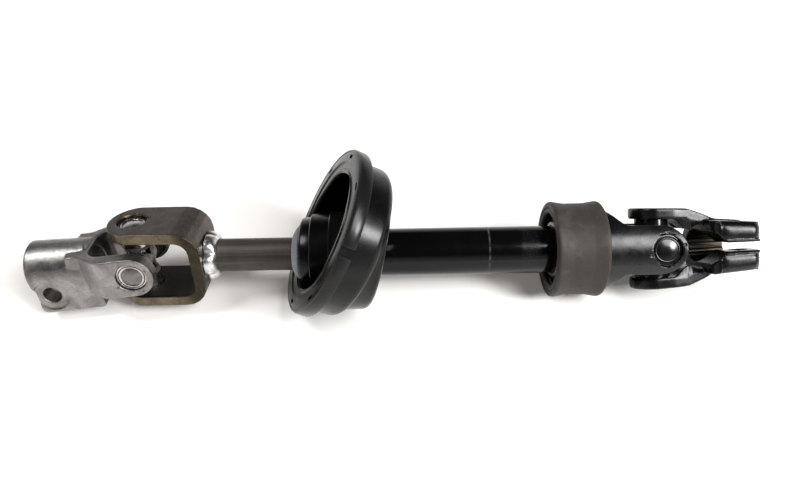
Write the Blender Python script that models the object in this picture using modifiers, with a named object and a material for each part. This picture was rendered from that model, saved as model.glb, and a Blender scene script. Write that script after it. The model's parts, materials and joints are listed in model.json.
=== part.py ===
"""Intermediate steering shaft: a telescoping shaft with a cardan joint at each end, a bulkhead boot
and a rubber isolator ring.

Metres, +Z up. The shaft lies along X at rest on its isolator ring, its strap yoke and its pinch lug.
Stations are distances along the shaft, with +X towards the upper joint. A yoke is modelled in its own
frame: the origin is the centre of its cross, +X runs away from the cross and Z is the axis of its ears.
"""

import math

import bmesh
import bpy

# Running and assembly gap between neighbouring pieces, and how far a cutter runs past a face
GAP = 0.0003
OVERRUN = 0.0020

# Stations along the shaft
LOWER_CROSS_STATION = -0.1323
UPPER_CROSS_STATION = 0.1290
TUBE_MOUTH_STATION = -0.0475
TUBE_END_STATION = 0.0975

# Roll of each end about the shaft, and the resting set of both joints
STRAP_ROLL = math.radians(-16.0)
TUBE_ROLL = math.radians(46.0)
LOWER_SWING = math.radians(5.1)
LOWER_NOD = math.radians(3.3)
UPPER_SWING = math.radians(2.0)

# Cross and bearing cups, the same size at both joints
CROSS_HALF_SPAN = 0.0190
TRUNNION_RADIUS = 0.0049
TRUNNION_CHAMFER = 0.0006
CROSS_ARM_RADIUS = 0.0064
CROSS_SHOULDER = 0.0064
CUP_RADIUS = 0.0080
CUP_WALL = 0.0011
CUP_FLOOR = 0.0014
CUP_LENGTH = 0.0098
CUP_DIMPLE_RADIUS = 0.0049
CUP_DIMPLE_DEPTH = 0.0004
CUP_EDGE = 0.0007
NEEDLE_CLEARANCE = 0.0002
NEEDLE_COUNT = 6
NEEDLE_WAVE = 0.00012
NEEDLE_LENGTH = 0.0062
SEAL_TAPER_GAP = 0.00022
STAKE_LIP = 0.0007

# Strap yoke: a bent strip round the lower cross
STRAP_THICKNESS = 0.0056
STRAP_HALF_ACROSS = 0.0209
STRAP_HALF_WIDTH = 0.0146
STRAP_TIP = 0.0115
STRAP_WEB = 0.0350
STRAP_BEND = 0.0060
STRAP_EDGE = 0.0006

# Inner shaft, its weld and its sliding sleeve
SHAFT_RADIUS = 0.00835
SHAFT_CHAMFER = 0.0008
SPLINE_START_STATION = -0.0440
SPLINE_END_STATION = 0.0260
SPLINE_TEETH = 12
SPLINE_MID_RADIUS = 0.0077
SPLINE_WAVE = 0.0004
SLEEVE_WALL = 0.0009
SLEEVE_LENGTH = 0.0420
SLEEVE_SETBACK = 0.0040
WELD_HEIGHT = 0.0028
WELD_LENGTH = 0.0052
WELD_LOBES = 7
WELD_WAVE = 0.0003

# Outer tube and rubber isolator
TUBE_RADIUS = 0.0121
RING_START_STATION = 0.0757
RING_LENGTH = 0.0252
RING_BEAD_RADIUS = 0.0244
RING_WAIST_RADIUS = 0.0234
RING_BEAD_LENGTH = 0.0032
RING_EDGE = 0.0009
RING_LIP_RADIUS = 0.0183
RING_LIP_LENGTH = 0.0028
SKIRT_RADIUS = 0.0208
SKIRT_WALL = 0.0022
BUSH_SLEEVE_WALL = 0.0018
BUSH_SLEEVE_LENGTH = 0.0200
BUSH_LENGTH = 0.0170
BUSH_DISH = 0.0022
TUBE_YOKE_WEB = 0.0065
TUBE_YOKE_EAR_WALL = 0.0052
TUBE_YOKE_EAR_HALF_WIDTH = 0.0120
TUBE_YOKE_TIP = 0.0098
TUBE_YOKE_SHOULDER_LENGTH = 0.0093
TUBE_YOKE_SHOULDER_STATION = 0.1008
TUBE_YOKE_FILLET = 0.0040

# Lower clamp yoke: a forging with a split, serrated hub
CLAMP_EAR_HALF_ACROSS = 0.0205
CLAMP_EAR_THICKNESS = 0.0070
CLAMP_EAR_HALF_WIDTH = 0.0106
CLAMP_FORK_DEPTH = 0.0215
CLAMP_FORK_RADIUS = 0.0075
CLAMP_EAR_LENGTH = 0.0145
CLAMP_FILLET = 0.0040
HUB_START = 0.0235
HUB_END = 0.0522
HUB_RADIUS = 0.0142
HUB_ROOT_RADIUS = 0.0126
HUB_CHAMFER = 0.0010
HUB_BORE_RADIUS = 0.0087
SERRATION_COUNT = 24
SERRATION_DEPTH = 0.0006
LUG_REACH = 0.0203
LUG_HALF_WIDTH = 0.0120
LUG_START = 0.0205
LUG_CORNER = 0.0028
LUG_EDGE = 0.0008
PINCH_HOLE_RADIUS = 0.0044
PINCH_HOLE_AT = 0.0445
PINCH_HOLE_OFFSET = 0.0102
PINCH_SPOT_RADIUS = 0.0084
PINCH_SPOT_DEPTH = 0.0007
PINCH_SLIT = 0.0030

# Upper end yoke: a stamping folded into a split clamp
END_PLATE = 0.0056
END_HALF_ACROSS = 0.0208
END_EAR_HALF_WIDTH = 0.0115
END_TIP = 0.0110
END_EAR_LENGTH = 0.0135
END_EAR_TAPER = math.radians(3.0)
END_NECK_LENGTH = 0.0145
END_NECK_RADIUS = 0.0090
END_EDGE = 0.0007
END_BARREL_START = 0.0220
END_BARREL_END = 0.0410
END_MOUTH_START = 0.0190
END_MOUTH_END = 0.0285
END_MOUTH_HALF_WIDTH = 0.0110
END_BORE_RADIUS = 0.0085
END_LUG_START = 0.0220
END_LUG_END = 0.0445
END_LUG_REACH = 0.0215
END_LUG_LAYER = 0.0055
END_LUG_GROOVE = 0.0010
END_LUG_ROUNDS = (0.0020, 0.0006, 0.0026)
END_LUG_CORNERS = (0.0062, 0.0040)
END_SPLIT = 0.0043
END_BOLT_AT = 0.0370
END_BOLT_OFFSET = 0.0132
END_BOLT_RADIUS = 0.0041
END_GAUGE_HOLE_RADIUS = 0.0018
END_GAUGE_HOLE_AT = 0.0120

# Boot: a rubber cup on a bush round the outer tube, which leans more at its front face than at its back
BOOT_SIDE = -0.0040
BOOT_STATION = -0.0376
BOOT_RISE = 0.0215
BOOT_TILT = math.radians(30.5)
BOOT_BACK_STATION = -0.0113
BOOT_BACK_RISE = 0.0095
BOOT_BACK_TILT = math.radians(15.0)
BOOT_FLANGE_RADIUS = 0.0418
BOOT_FLANGE_WIDTH = 0.0064
BOOT_TIER1_RADIUS = 0.0378
BOOT_TIER1_LENGTH = 0.0136
BOOT_SHOULDER = 0.0040
BOOT_TIER2_RADIUS = 0.0338
BOOT_TIER2_LENGTH = 0.0091
BOOT_BACK_RADIUS = 0.0322
BOOT_OPENING_RADIUS = 0.0295
BOOT_LIP = 0.0030
BOOT_WALL = 0.0036
BOOT_EDGE = 0.0012
BOOT_SLOT_COUNT = 8
BOOT_SLOT_PHASE = math.radians(-8.0)
BOOT_SLOT_RADIUS = 0.0379
BOOT_SLOT_SIZE = (0.0018, 0.0042, 0.0050)
BOOT_NOTCH_SIZE = (0.0036, 0.0046, 0.0200)
BOOT_NOTCH_AT = 7
BOOT_NOSE_STATION = -0.0494
BOOT_STEP1_STATION = -0.0440
BOOT_STEP2_STATION = -0.0346
BOOT_STEP_RADII = (0.0185, 0.0203, 0.0212)
BOOT_NECK_RADIUS = 0.0152
BOOT_NECK_STATION = -0.0120
BOOT_RIM = 0.0008
BOOT_BUSH_WALL = 0.0032
BOOT_BUSH_LENGTH = 0.0175
WIPER_RADIUS = 0.0150
WIPER_LENGTH = 0.0062

# Facets round a turn
ROUND = 36
MEDIUM = 24
SMALL = 16
FEW = 12

# Where the ends and sides of the assembly lie, so that the origin falls under its middle
LEFT_END = LOWER_CROSS_STATION - HUB_END * math.cos(LOWER_SWING) * math.cos(LOWER_NOD)
RIGHT_END = UPPER_CROSS_STATION + END_LUG_END
CENTRE_SHIFT = -(LEFT_END + RIGHT_END) / 2
SIDE_SHIFT = -BOOT_SIDE
AXIS_HEIGHT = RING_BEAD_RADIUS

ALONG_X = (0.0, math.pi / 2, 0.0)
FORK_PLANE = (math.pi / 2, 0.0, 0.0)
SECTION_PLANE = (math.pi / 2, 0.0, math.pi / 2)
LEVEL = (0.0, 0.0, 0.0)


def clear_scene():
    """Empties the file of the start-up objects."""
    for obj in list(bpy.data.objects):
        bpy.data.objects.remove(obj)


def new_collection(name):
    collection = bpy.data.collections.new(name)
    bpy.context.scene.collection.children.link(collection)
    return collection


clear_scene()
PARTS = new_collection("intermediate_steering_shaft")
CUTTERS = new_collection("cutters")


def material(name, colour, roughness, metallic):
    """One Principled material, with its colour as linear RGB."""
    made = bpy.data.materials.new(name)
    made.use_nodes = True
    shader = made.node_tree.nodes["Principled BSDF"]
    shader.inputs["Base Color"].default_value = (*colour, 1.0)
    shader.inputs["Roughness"].default_value = roughness
    shader.inputs["Metallic"].default_value = metallic
    made.diffuse_color = (*colour, 1.0)
    return made


FORGED_STEEL = material("forged_steel", (0.42, 0.41, 0.40), 0.38, 1.0)
STRAP_STEEL = material("strap_steel", (0.16, 0.14, 0.12), 0.42, 1.0)
SHAFT_STEEL = material("shaft_steel", (0.13, 0.115, 0.095), 0.40, 1.0)
BEARING_STEEL = material("bearing_steel", (0.50, 0.49, 0.48), 0.25, 1.0)
WELD_METAL = material("weld_metal", (0.62, 0.62, 0.62), 0.18, 1.0)
GLOSS_BLACK = material("gloss_black_paint", (0.008, 0.008, 0.009), 0.18, 0.0)
SATIN_BLACK = material("satin_black_paint", (0.012, 0.012, 0.013), 0.35, 0.0)
BOOT_RUBBER = material("boot_rubber", (0.014, 0.014, 0.015), 0.42, 0.0)
RING_RUBBER = material("ring_rubber", (0.020, 0.018, 0.017), 0.60, 0.0)
SEAL_RUBBER = material("seal_rubber", (0.012, 0.012, 0.012), 0.55, 0.0)
SLIDE_NYLON = material("slide_nylon", (0.60, 0.58, 0.50), 0.45, 0.0)
WIPER_FELT = material("wiper_felt", (0.055, 0.060, 0.070), 0.85, 0.0)


def arc(centre, radius, start, end, steps):
    """Points along an arc, with the angles in degrees and both ends included."""
    angles = [math.radians(start + (end - start) * i / steps) for i in range(steps + 1)]
    return [(centre[0] + radius * math.cos(a), centre[1] + radius * math.sin(a)) for a in angles]


def circle(radius, steps, centre=(0.0, 0.0)):
    return arc(centre, radius, 0.0, 360.0, steps)[:-1]


def wavy_circle(radius, wave, count, per_wave, phase=0.0):
    """A circle whose radius swings by the wave, count times in a turn."""
    steps = count * per_wave
    points = []
    for i in range(steps):
        angle = 2 * math.pi * i / steps
        swing = radius + wave * math.cos(count * angle)
        points.append((swing * math.cos(angle + phase), swing * math.sin(angle + phase)))
    return points


def rounded(corners, steps=4):
    """The closed outline through (x, y, radius) corners, with an arc in place of each corner."""
    points = []
    count = len(corners)
    for i, (x, y, radius) in enumerate(corners):
        if radius <= 0:
            points.append((x, y))
            continue
        before, after = corners[i - 1], corners[(i + 1) % count]
        into = math.atan2(before[1] - y, before[0] - x)
        out = math.atan2(after[1] - y, after[0] - x)
        half = ((out - into + math.pi) % (2 * math.pi) - math.pi) / 2
        middle = into + half
        reach = radius / abs(math.sin(half))
        centre = (x + reach * math.cos(middle), y + reach * math.sin(middle))
        turn = math.copysign(math.pi / 2 - abs(half), half)
        facing = middle + math.pi
        for k in range(steps + 1):
            angle = facing + turn * (1 - 2 * k / steps)
            points.append((centre[0] + radius * math.cos(angle), centre[1] + radius * math.sin(angle)))
    return points


def mirrored(points):
    """The outline closed by its mirror image below the X axis."""
    return points + [(x, -y) for x, y in reversed(points)]


def place(obj, parent, location=(0.0, 0.0, 0.0), rotation=LEVEL):
    obj.parent = parent
    obj.location = location
    obj.rotation_euler = rotation
    return obj


def frame(name, parent, location=(0.0, 0.0, 0.0), rotation=LEVEL):
    """An empty that carries a group of pieces."""
    empty = bpy.data.objects.new(name, None)
    empty.empty_display_size = 0.01
    PARTS.objects.link(empty)
    return place(empty, parent, location, rotation)


def piece(name, mesh, finish):
    """A visible object of the model."""
    obj = bpy.data.objects.new(name, mesh)
    PARTS.objects.link(obj)
    obj.data.materials.clear()
    obj.data.materials.append(finish)
    return obj


def cutter(name, mesh):
    """A helper that shapes other pieces and isn't part of the model."""
    obj = bpy.data.objects.new(name, mesh)
    CUTTERS.objects.link(obj)
    obj.hide_render = True
    obj.display_type = "WIRE"
    return obj


def plate_mesh(name, loops, thickness):
    """A flat slab from closed outlines in XY, centred on Z. The loops after the first are holes."""
    curve = bpy.data.curves.new(name, "CURVE")
    curve.dimensions = "2D"
    curve.fill_mode = "BOTH"
    curve.extrude = thickness / 2
    for loop in loops:
        spline = curve.splines.new("POLY")
        spline.points.add(len(loop) - 1)
        for point, (x, y) in zip(spline.points, loop):
            point.co = (x, y, 0.0, 1.0)
        spline.use_cyclic_u = True
    outline = bpy.data.objects.new(name, curve)
    bpy.context.scene.collection.objects.link(outline)
    graph = bpy.context.evaluated_depsgraph_get()
    mesh = bpy.data.meshes.new_from_object(outline.evaluated_get(graph))
    bpy.data.objects.remove(outline)
    bm = bmesh.new()
    bm.from_mesh(mesh)
    bmesh.ops.remove_doubles(bm, verts=bm.verts, dist=1e-6)
    bmesh.ops.recalc_face_normals(bm, faces=bm.faces)
    bm.to_mesh(mesh)
    bm.free()
    mesh.name = name
    return mesh


def block_mesh(name, low, high):
    """A box between two corners."""
    mesh = bpy.data.meshes.new(name)
    bm = bmesh.new()
    bmesh.ops.create_cube(bm, size=1.0)
    for vert in bm.verts:
        for i in range(3):
            vert.co[i] = low[i] + (vert.co[i] + 0.5) * (high[i] - low[i])
    bm.to_mesh(mesh)
    bm.free()
    return mesh


def profile_mesh(name, profile):
    """The half section of a turned piece, as (radius, height) points in the XZ plane.

    The points run down the outer side. A profile that starts and ends on the axis stays open there.
    """
    area = sum(a[0] * b[1] - b[0] * a[1] for a, b in zip(profile, profile[1:] + profile[:1]))
    points = profile[::-1] if area > 0 else profile
    mesh = bpy.data.meshes.new(name)
    bm = bmesh.new()
    verts = [bm.verts.new((radius, 0.0, height)) for radius, height in points]
    for a, b in zip(verts, verts[1:] + verts[:1]):
        if a.co.x > 1e-7 or b.co.x > 1e-7:
            bm.edges.new((a, b))
    bm.to_mesh(mesh)
    bm.free()
    return mesh


def spin(obj, segments):
    """Turns a half section about the object's Z."""
    screw = obj.modifiers.new("turn", "SCREW")
    screw.axis = "Z"
    screw.angle = 2 * math.pi
    screw.steps = segments
    screw.render_steps = segments
    screw.use_merge_vertices = True
    screw.merge_threshold = 1e-5
    screw.use_smooth_shade = True
    return obj


def turned(name, profile, finish, segments):
    return spin(piece(name, profile_mesh(name, profile), finish), segments)


def turned_cutter(name, profile, segments):
    return spin(cutter(name, profile_mesh(name, profile)), segments)


def rod_cutter(name, radius, low, high, segments=MEDIUM):
    """A round cutter along its Z, between two heights."""
    return turned_cutter(name, [(0.0, high), (radius, high), (radius, low), (0.0, low)], segments)


def plate(name, loops, thickness, finish):
    return piece(name, plate_mesh(name, loops, thickness), finish)


def plate_cutter(name, loops, thickness):
    return cutter(name, plate_mesh(name, loops, thickness))


def join(obj, other, operation):
    """Adds a Boolean of the other object: UNION, DIFFERENCE or INTERSECT."""
    boolean = obj.modifiers.new(other.name, "BOOLEAN")
    boolean.operation = operation
    boolean.solver = "EXACT"
    boolean.object = other
    return obj


def soften(obj, width, segments=2, angle=50.0):
    """Rounds the sharp edges."""
    bevel = obj.modifiers.new("edges", "BEVEL")
    bevel.width = width
    bevel.segments = segments
    bevel.limit_method = "ANGLE"
    bevel.angle_limit = math.radians(angle)
    bevel.harden_normals = False
    return obj


# Bearings, the same at both joints

TRUNNION_END = CROSS_HALF_SPAN - CUP_FLOOR - GAP
CUP_MOUTH = CROSS_HALF_SPAN - CUP_LENGTH
CUP_BORE = CUP_RADIUS - CUP_WALL


def cup_profile():
    """A drawn cup, open towards the cross, with a shallow dish in its floor."""
    end, mouth = CROSS_HALF_SPAN, CUP_MOUTH
    return [
        (0.0, end - CUP_DIMPLE_DEPTH),
        (CUP_DIMPLE_RADIUS, end),
        (CUP_RADIUS - CUP_EDGE, end),
        (CUP_RADIUS, end - CUP_EDGE),
        (CUP_RADIUS, mouth),
        (CUP_BORE, mouth),
        (CUP_BORE, end - CUP_FLOOR),
        (0.0, end - CUP_FLOOR),
    ]


def seal_profile():
    """A tapered lip seal between the shoulder of the cross and the mouth of the cup."""
    low = CROSS_SHOULDER + GAP
    high = CUP_MOUTH - GAP
    bore = TRUNNION_RADIUS + GAP
    return [
        (bore, high),
        (high - SEAL_TAPER_GAP, high),
        (low - SEAL_TAPER_GAP, low),
        (bore, low),
    ]


def trunnion_profile():
    """Two opposite arms of a cross, turned about their common axis."""
    half = [
        (0.0, TRUNNION_END),
        (TRUNNION_RADIUS - TRUNNION_CHAMFER, TRUNNION_END),
        (TRUNNION_RADIUS, TRUNNION_END - TRUNNION_CHAMFER),
        (TRUNNION_RADIUS, CROSS_SHOULDER),
        (CROSS_ARM_RADIUS, CROSS_SHOULDER),
    ]
    return half + [(radius, -height) for radius, height in reversed(half)]


def needle_ring_mesh():
    """The full ring of needles that runs between a trunnion and its cup."""
    outer = CUP_BORE - NEEDLE_CLEARANCE - NEEDLE_WAVE
    inner = TRUNNION_RADIUS + NEEDLE_CLEARANCE + NEEDLE_WAVE
    loops = [
        wavy_circle(outer, NEEDLE_WAVE, NEEDLE_COUNT, 2),
        wavy_circle(inner, -NEEDLE_WAVE, NEEDLE_COUNT, 2),
    ]
    return plate_mesh("needle_ring", loops, NEEDLE_LENGTH)


CUP_MESH = profile_mesh("bearing_cup", cup_profile())
SEAL_MESH = profile_mesh("trunnion_seal", seal_profile())
NEEDLE_MESH = needle_ring_mesh()
NEEDLE_AT = CROSS_HALF_SPAN - CUP_FLOOR - GAP - NEEDLE_LENGTH / 2

# Rotations that send a piece's Z to each end of an ear axis
UP = (0.0, 0.0, 0.0)
DOWN = (math.pi, 0.0, 0.0)
FRONT = (-math.pi / 2, 0.0, 0.0)
BACK = (math.pi / 2, 0.0, 0.0)


def bearing_pair(prefix, parent):
    """The two cups and needle rings in the ears of one yoke."""
    for end, turn, side in (("a", UP, 1), ("b", DOWN, -1)):
        cup = spin(piece(f"{prefix}_cup_{end}", CUP_MESH, BEARING_STEEL), SMALL)
        place(cup, parent, rotation=turn)
        needles = piece(f"{prefix}_needles_{end}", NEEDLE_MESH, BEARING_STEEL)
        place(needles, parent, location=(0.0, 0.0, side * NEEDLE_AT))


def cross(prefix, parent):
    """A cross with its four seals. Its arms lie along the frame's Z and Y."""
    body = turned(f"{prefix}_cross", trunnion_profile(), BEARING_STEEL, SMALL)
    place(body, parent)
    arms = turned_cutter(f"{prefix}_cross_arms", trunnion_profile(), SMALL)
    place(arms, parent, rotation=FRONT)
    join(body, arms, "UNION")
    for end, turn in (("a", UP), ("b", DOWN), ("c", FRONT), ("d", BACK)):
        seal = spin(piece(f"{prefix}_seal_{end}", SEAL_MESH, SEAL_RUBBER), FEW)
        place(seal, parent, rotation=turn)


def cup_seats(obj, parent, outside):
    """Bores both ears for their cups and leaves a staked lip over each cup's edge."""
    profile = [
        (0.0, outside),
        (CUP_RADIUS - STAKE_LIP, outside),
        (CUP_RADIUS - STAKE_LIP, CROSS_HALF_SPAN + GAP),
        (CUP_RADIUS + GAP, CROSS_HALF_SPAN + GAP),
        (CUP_RADIUS + GAP, CUP_MOUTH / 2),
        (0.0, CUP_MOUTH / 2),
    ]
    for end, turn in (("a", UP), ("b", DOWN)):
        seat = turned_cutter(f"{obj.name}_seat_{end}", profile, SMALL)
        place(seat, parent, rotation=turn)
        join(obj, seat, "DIFFERENCE")


# Lower end: inner shaft, strap yoke, cross and clamp yoke


def strap_yoke(parent):
    """A strip bent into a U, with round ear tips."""
    across, tip, web, thick = STRAP_HALF_ACROSS, STRAP_TIP, STRAP_WEB, STRAP_THICKNESS
    end = -tip - OVERRUN
    fork = rounded(
        [
            (end, across, 0.0),
            (web, across, STRAP_BEND + thick),
            (web, -across, STRAP_BEND + thick),
            (end, -across, 0.0),
            (end, thick - across, 0.0),
            (web - thick, thick - across, STRAP_BEND),
            (web - thick, across - thick, STRAP_BEND),
            (end, across - thick, 0.0),
        ],
        steps=5,
    )
    yoke = plate("strap_yoke", [fork], 2 * STRAP_HALF_WIDTH, STRAP_STEEL)
    place(yoke, parent, rotation=FORK_PLANE)
    side = STRAP_HALF_WIDTH + GAP
    tips = arc((side - tip, 0.0), side, 90.0, 270.0, 14)
    outline = plate_cutter("strap_outline", [tips + [(web + side, -side), (web + side, side)]], 4 * across)
    place(outline, parent)
    join(yoke, outline, "INTERSECT")
    soften(yoke, STRAP_EDGE, 1)
    cup_seats(yoke, parent, across + thick)
    hole = rod_cutter("strap_shaft_hole", SHAFT_RADIUS + GAP, web - 2 * thick, web + thick)
    place(hole, parent, rotation=ALONG_X)
    join(yoke, hole, "DIFFERENCE")


def weld_bead(parent, web_station):
    """The lumpy ring of weld that joins the shaft to the strap yoke."""
    start = web_station + GAP
    inner = SHAFT_RADIUS + GAP
    bm = bmesh.new()
    section = [
        (0.0, 0.0),
        (WELD_HEIGHT, 0.0),
        (WELD_HEIGHT, 0.25 * WELD_LENGTH),
        (0.72 * WELD_HEIGHT, 0.66 * WELD_LENGTH),
        (0.30 * WELD_HEIGHT, WELD_LENGTH),
        (0.0, WELD_LENGTH),
    ]
    steps = 4 * WELD_LOBES
    rings = []
    for i in range(steps):
        angle = 2 * math.pi * i / steps
        swell = 1 + WELD_WAVE / WELD_HEIGHT * math.cos(WELD_LOBES * angle)
        ring = []
        for height, along in section:
            radius = inner + height * swell
            ring.append(bm.verts.new((start + along * swell, radius * math.cos(angle), radius * math.sin(angle))))
        rings.append(ring)
    for a, b in zip(rings, rings[1:] + rings[:1]):
        for k in range(len(section)):
            n = (k + 1) % len(section)
            bm.faces.new((a[k], a[n], b[n], b[k]))
    bmesh.ops.recalc_face_normals(bm, faces=bm.faces)
    mesh = bpy.data.meshes.new("weld_bead")
    bm.to_mesh(mesh)
    bm.free()
    place(piece("weld_bead", mesh, WELD_METAL), parent)


def spline_outline(grow, phase=0.0):
    return wavy_circle(SPLINE_MID_RADIUS + grow, SPLINE_WAVE, SPLINE_TEETH, 3, phase)


def inner_shaft(parent, web_station):
    """The bar from the strap yoke into the tube, with its splined end and the nylon on the splines."""
    start = web_station - STRAP_THICKNESS
    end = SPLINE_START_STATION
    profile = [
        (0.0, end),
        (SHAFT_RADIUS - SHAFT_CHAMFER, end),
        (SHAFT_RADIUS, end - SHAFT_CHAMFER),
        (SHAFT_RADIUS, start + SHAFT_CHAMFER),
        (SHAFT_RADIUS - SHAFT_CHAMFER, start),
        (0.0, start),
    ]
    shaft = turned("inner_shaft", profile, SHAFT_STEEL, MEDIUM)
    place(shaft, parent, rotation=ALONG_X)
    overlap = 2 * SHAFT_CHAMFER
    length = SPLINE_END_STATION - end + overlap
    spline = plate_cutter("shaft_spline", [spline_outline(0.0)], length)
    place(spline, parent, (end - overlap + length / 2, 0.0, 0.0), SECTION_PLANE)
    join(shaft, spline, "UNION")
    middle = SPLINE_END_STATION - SLEEVE_SETBACK - SLEEVE_LENGTH / 2
    loops = [spline_outline(GAP + SLEEVE_WALL), spline_outline(GAP)]
    sleeve = plate("slide_sleeve", loops, SLEEVE_LENGTH, SLIDE_NYLON)
    place(sleeve, parent, (middle, 0.0, 0.0), SECTION_PLANE)


def serrated_bore(name, radius, low, high):
    """A cutter for a toothed bore, along X between two distances."""
    outline = wavy_circle(radius - SERRATION_DEPTH / 2, SERRATION_DEPTH / 2, SERRATION_COUNT, 2)
    bore = plate_cutter(name, [outline], high - low)
    return bore, ((low + high) / 2, 0.0, 0.0)


def clamp_yoke(parent):
    """A forged fork that runs into a round hub with a pinch lug on one side."""
    across, thick, depth = CLAMP_EAR_HALF_ACROSS, CLAMP_EAR_THICKNESS, CLAMP_FORK_DEPTH
    half = CLAMP_EAR_HALF_WIDTH
    end = -half - OVERRUN
    fillet = CLAMP_FILLET
    inset = HUB_ROOT_RADIUS - GAP
    fork = rounded(
        [
            (end, across, 0.0),
            (CLAMP_EAR_LENGTH, across, fillet),
            (HUB_START + OVERRUN, inset, fillet),
            (HUB_START + 2 * fillet, inset, 0.0),
            (HUB_START + 2 * fillet, -inset, 0.0),
            (HUB_START + OVERRUN, -inset, fillet),
            (CLAMP_EAR_LENGTH, -across, fillet),
            (end, -across, 0.0),
            (end, thick - across, 0.0),
            (depth, thick - across, CLAMP_FORK_RADIUS),
            (depth, across - thick, CLAMP_FORK_RADIUS),
            (end, across - thick, 0.0),
        ]
    )
    yoke = plate("lower_clamp_yoke", [fork], 3 * HUB_RADIUS, FORGED_STEEL)
    place(yoke, parent, rotation=FORK_PLANE)
    tips = arc((0.0, 0.0), half, 90.0, 270.0, 14)
    sides = [(2 * HUB_START, -half), (2 * HUB_START, half)]
    outline = plate_cutter("clamp_outline", [tips + sides], 4 * across)
    place(outline, parent)
    join(yoke, outline, "INTERSECT")
    hub = turned_cutter(
        "clamp_hub",
        [
            (0.0, HUB_END),
            (HUB_RADIUS - HUB_CHAMFER, HUB_END),
            (HUB_RADIUS, HUB_END - HUB_CHAMFER),
            (HUB_ROOT_RADIUS, HUB_START),
            (0.0, HUB_START),
        ],
        ROUND,
    )
    place(hub, parent, rotation=ALONG_X)
    join(yoke, hub, "UNION")
    join(yoke, pinch_lug(parent), "UNION")
    cup_seats(yoke, parent, across + thick)
    bore, middle = serrated_bore("clamp_bore", HUB_BORE_RADIUS, depth - thick, HUB_END + thick)
    place(bore, parent, middle, SECTION_PLANE)
    join(yoke, bore, "DIFFERENCE")
    slit = cutter(
        "clamp_slit",
        block_mesh(
            "clamp_slit",
            (LUG_START - OVERRUN, 0.0, -PINCH_SLIT / 2),
            (HUB_END + thick, 2 * LUG_REACH, PINCH_SLIT / 2),
        ),
    )
    place(slit, parent)
    join(yoke, slit, "DIFFERENCE")
    hole = rod_cutter("pinch_hole", PINCH_HOLE_RADIUS, -2 * LUG_HALF_WIDTH, 2 * LUG_HALF_WIDTH, SMALL)
    place(hole, parent, (PINCH_HOLE_AT, PINCH_HOLE_OFFSET, 0.0))
    join(yoke, hole, "DIFFERENCE")
    spot_floor = LUG_HALF_WIDTH - PINCH_SPOT_DEPTH
    for end, low, high in (("a", spot_floor, 2 * across), ("b", -2 * across, -spot_floor)):
        spot = rod_cutter(f"pinch_spot_{end}", PINCH_SPOT_RADIUS, low, high)
        place(spot, parent, (PINCH_HOLE_AT, PINCH_HOLE_OFFSET, 0.0))
        join(yoke, spot, "DIFFERENCE")


def pinch_lug(parent):
    """The block below the hub that the pinch bolt passes through."""
    reach, start, end = LUG_REACH, LUG_START, HUB_END - HUB_CHAMFER / 3
    outline = rounded(
        [
            (start, 0.0, 0.0),
            (start, reach, LUG_CORNER / 2),
            (end, reach, LUG_CORNER),
            (end, 0.0, 0.0),
        ]
    )
    lug = plate_cutter("clamp_lug", [outline], 2 * LUG_HALF_WIDTH)
    place(lug, parent)
    return soften(lug, LUG_EDGE, 1)


# Upper end: outer tube, isolator, tube yoke, cross and end yoke


def outer_tube(parent):
    """A tube whose bore is splined to the sleeve."""
    length = TUBE_END_STATION - TUBE_MOUTH_STATION
    phase = STRAP_ROLL - TUBE_ROLL
    loops = [circle(TUBE_RADIUS, ROUND), spline_outline(SLEEVE_WALL + 2 * GAP, phase)]
    tube = plate("outer_tube", loops, length, GLOSS_BLACK)
    place(tube, parent, ((TUBE_MOUTH_STATION + TUBE_END_STATION) / 2, 0.0, 0.0), SECTION_PLANE)


SKIRT_START = RING_START_STATION + RING_LIP_LENGTH + GAP
SKIRT_BORE = SKIRT_RADIUS - SKIRT_WALL
SKIRT_FLOOR = TUBE_END_STATION + GAP


def isolator(parent):
    """The rubber ring over the yoke's skirt, and the rubber bush and steel sleeve inside the skirt."""
    start, end = RING_START_STATION, RING_START_STATION + RING_LENGTH
    bead, waist, run = RING_BEAD_RADIUS, RING_WAIST_RADIUS, RING_BEAD_LENGTH
    inner = SKIRT_RADIUS + GAP
    edge = RING_EDGE
    ring = turned(
        "isolator_ring",
        [
            (bead - edge, end),
            (bead, end - edge),
            (bead, end - run),
            (waist, end - 3 * run),
            (waist, start + 3 * run),
            (bead, start + run),
            (bead, start + edge),
            (bead - edge, start),
            (RING_LIP_RADIUS + edge, start),
            (RING_LIP_RADIUS, start + edge),
            (RING_LIP_RADIUS, start + RING_LIP_LENGTH),
            (inner, start + RING_LIP_LENGTH),
            (inner, end),
        ],
        RING_RUBBER,
        ROUND,
    )
    place(ring, parent, rotation=ALONG_X)
    sleeve_in = TUBE_RADIUS + GAP
    sleeve_out = sleeve_in + BUSH_SLEEVE_WALL
    sleeve_end = TUBE_END_STATION
    sleeve_start = sleeve_end - BUSH_SLEEVE_LENGTH
    sleeve = turned(
        "bush_sleeve",
        [(sleeve_out, sleeve_end), (sleeve_out, sleeve_start), (sleeve_in, sleeve_start), (sleeve_in, sleeve_end)],
        BEARING_STEEL,
        MEDIUM,
    )
    place(sleeve, parent, rotation=ALONG_X)
    inside, outside = sleeve_out + GAP, SKIRT_BORE - GAP
    middle = (inside + outside) / 2
    low = sleeve_end - BUSH_LENGTH
    bush = turned(
        "isolator_bush",
        [
            (inside, sleeve_end),
            (middle, sleeve_end - BUSH_DISH),
            (outside, sleeve_end),
            (outside, low),
            (middle, low + BUSH_DISH),
            (inside, low),
        ],
        RING_RUBBER,
        MEDIUM,
    )
    place(bush, parent, rotation=ALONG_X)


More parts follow.
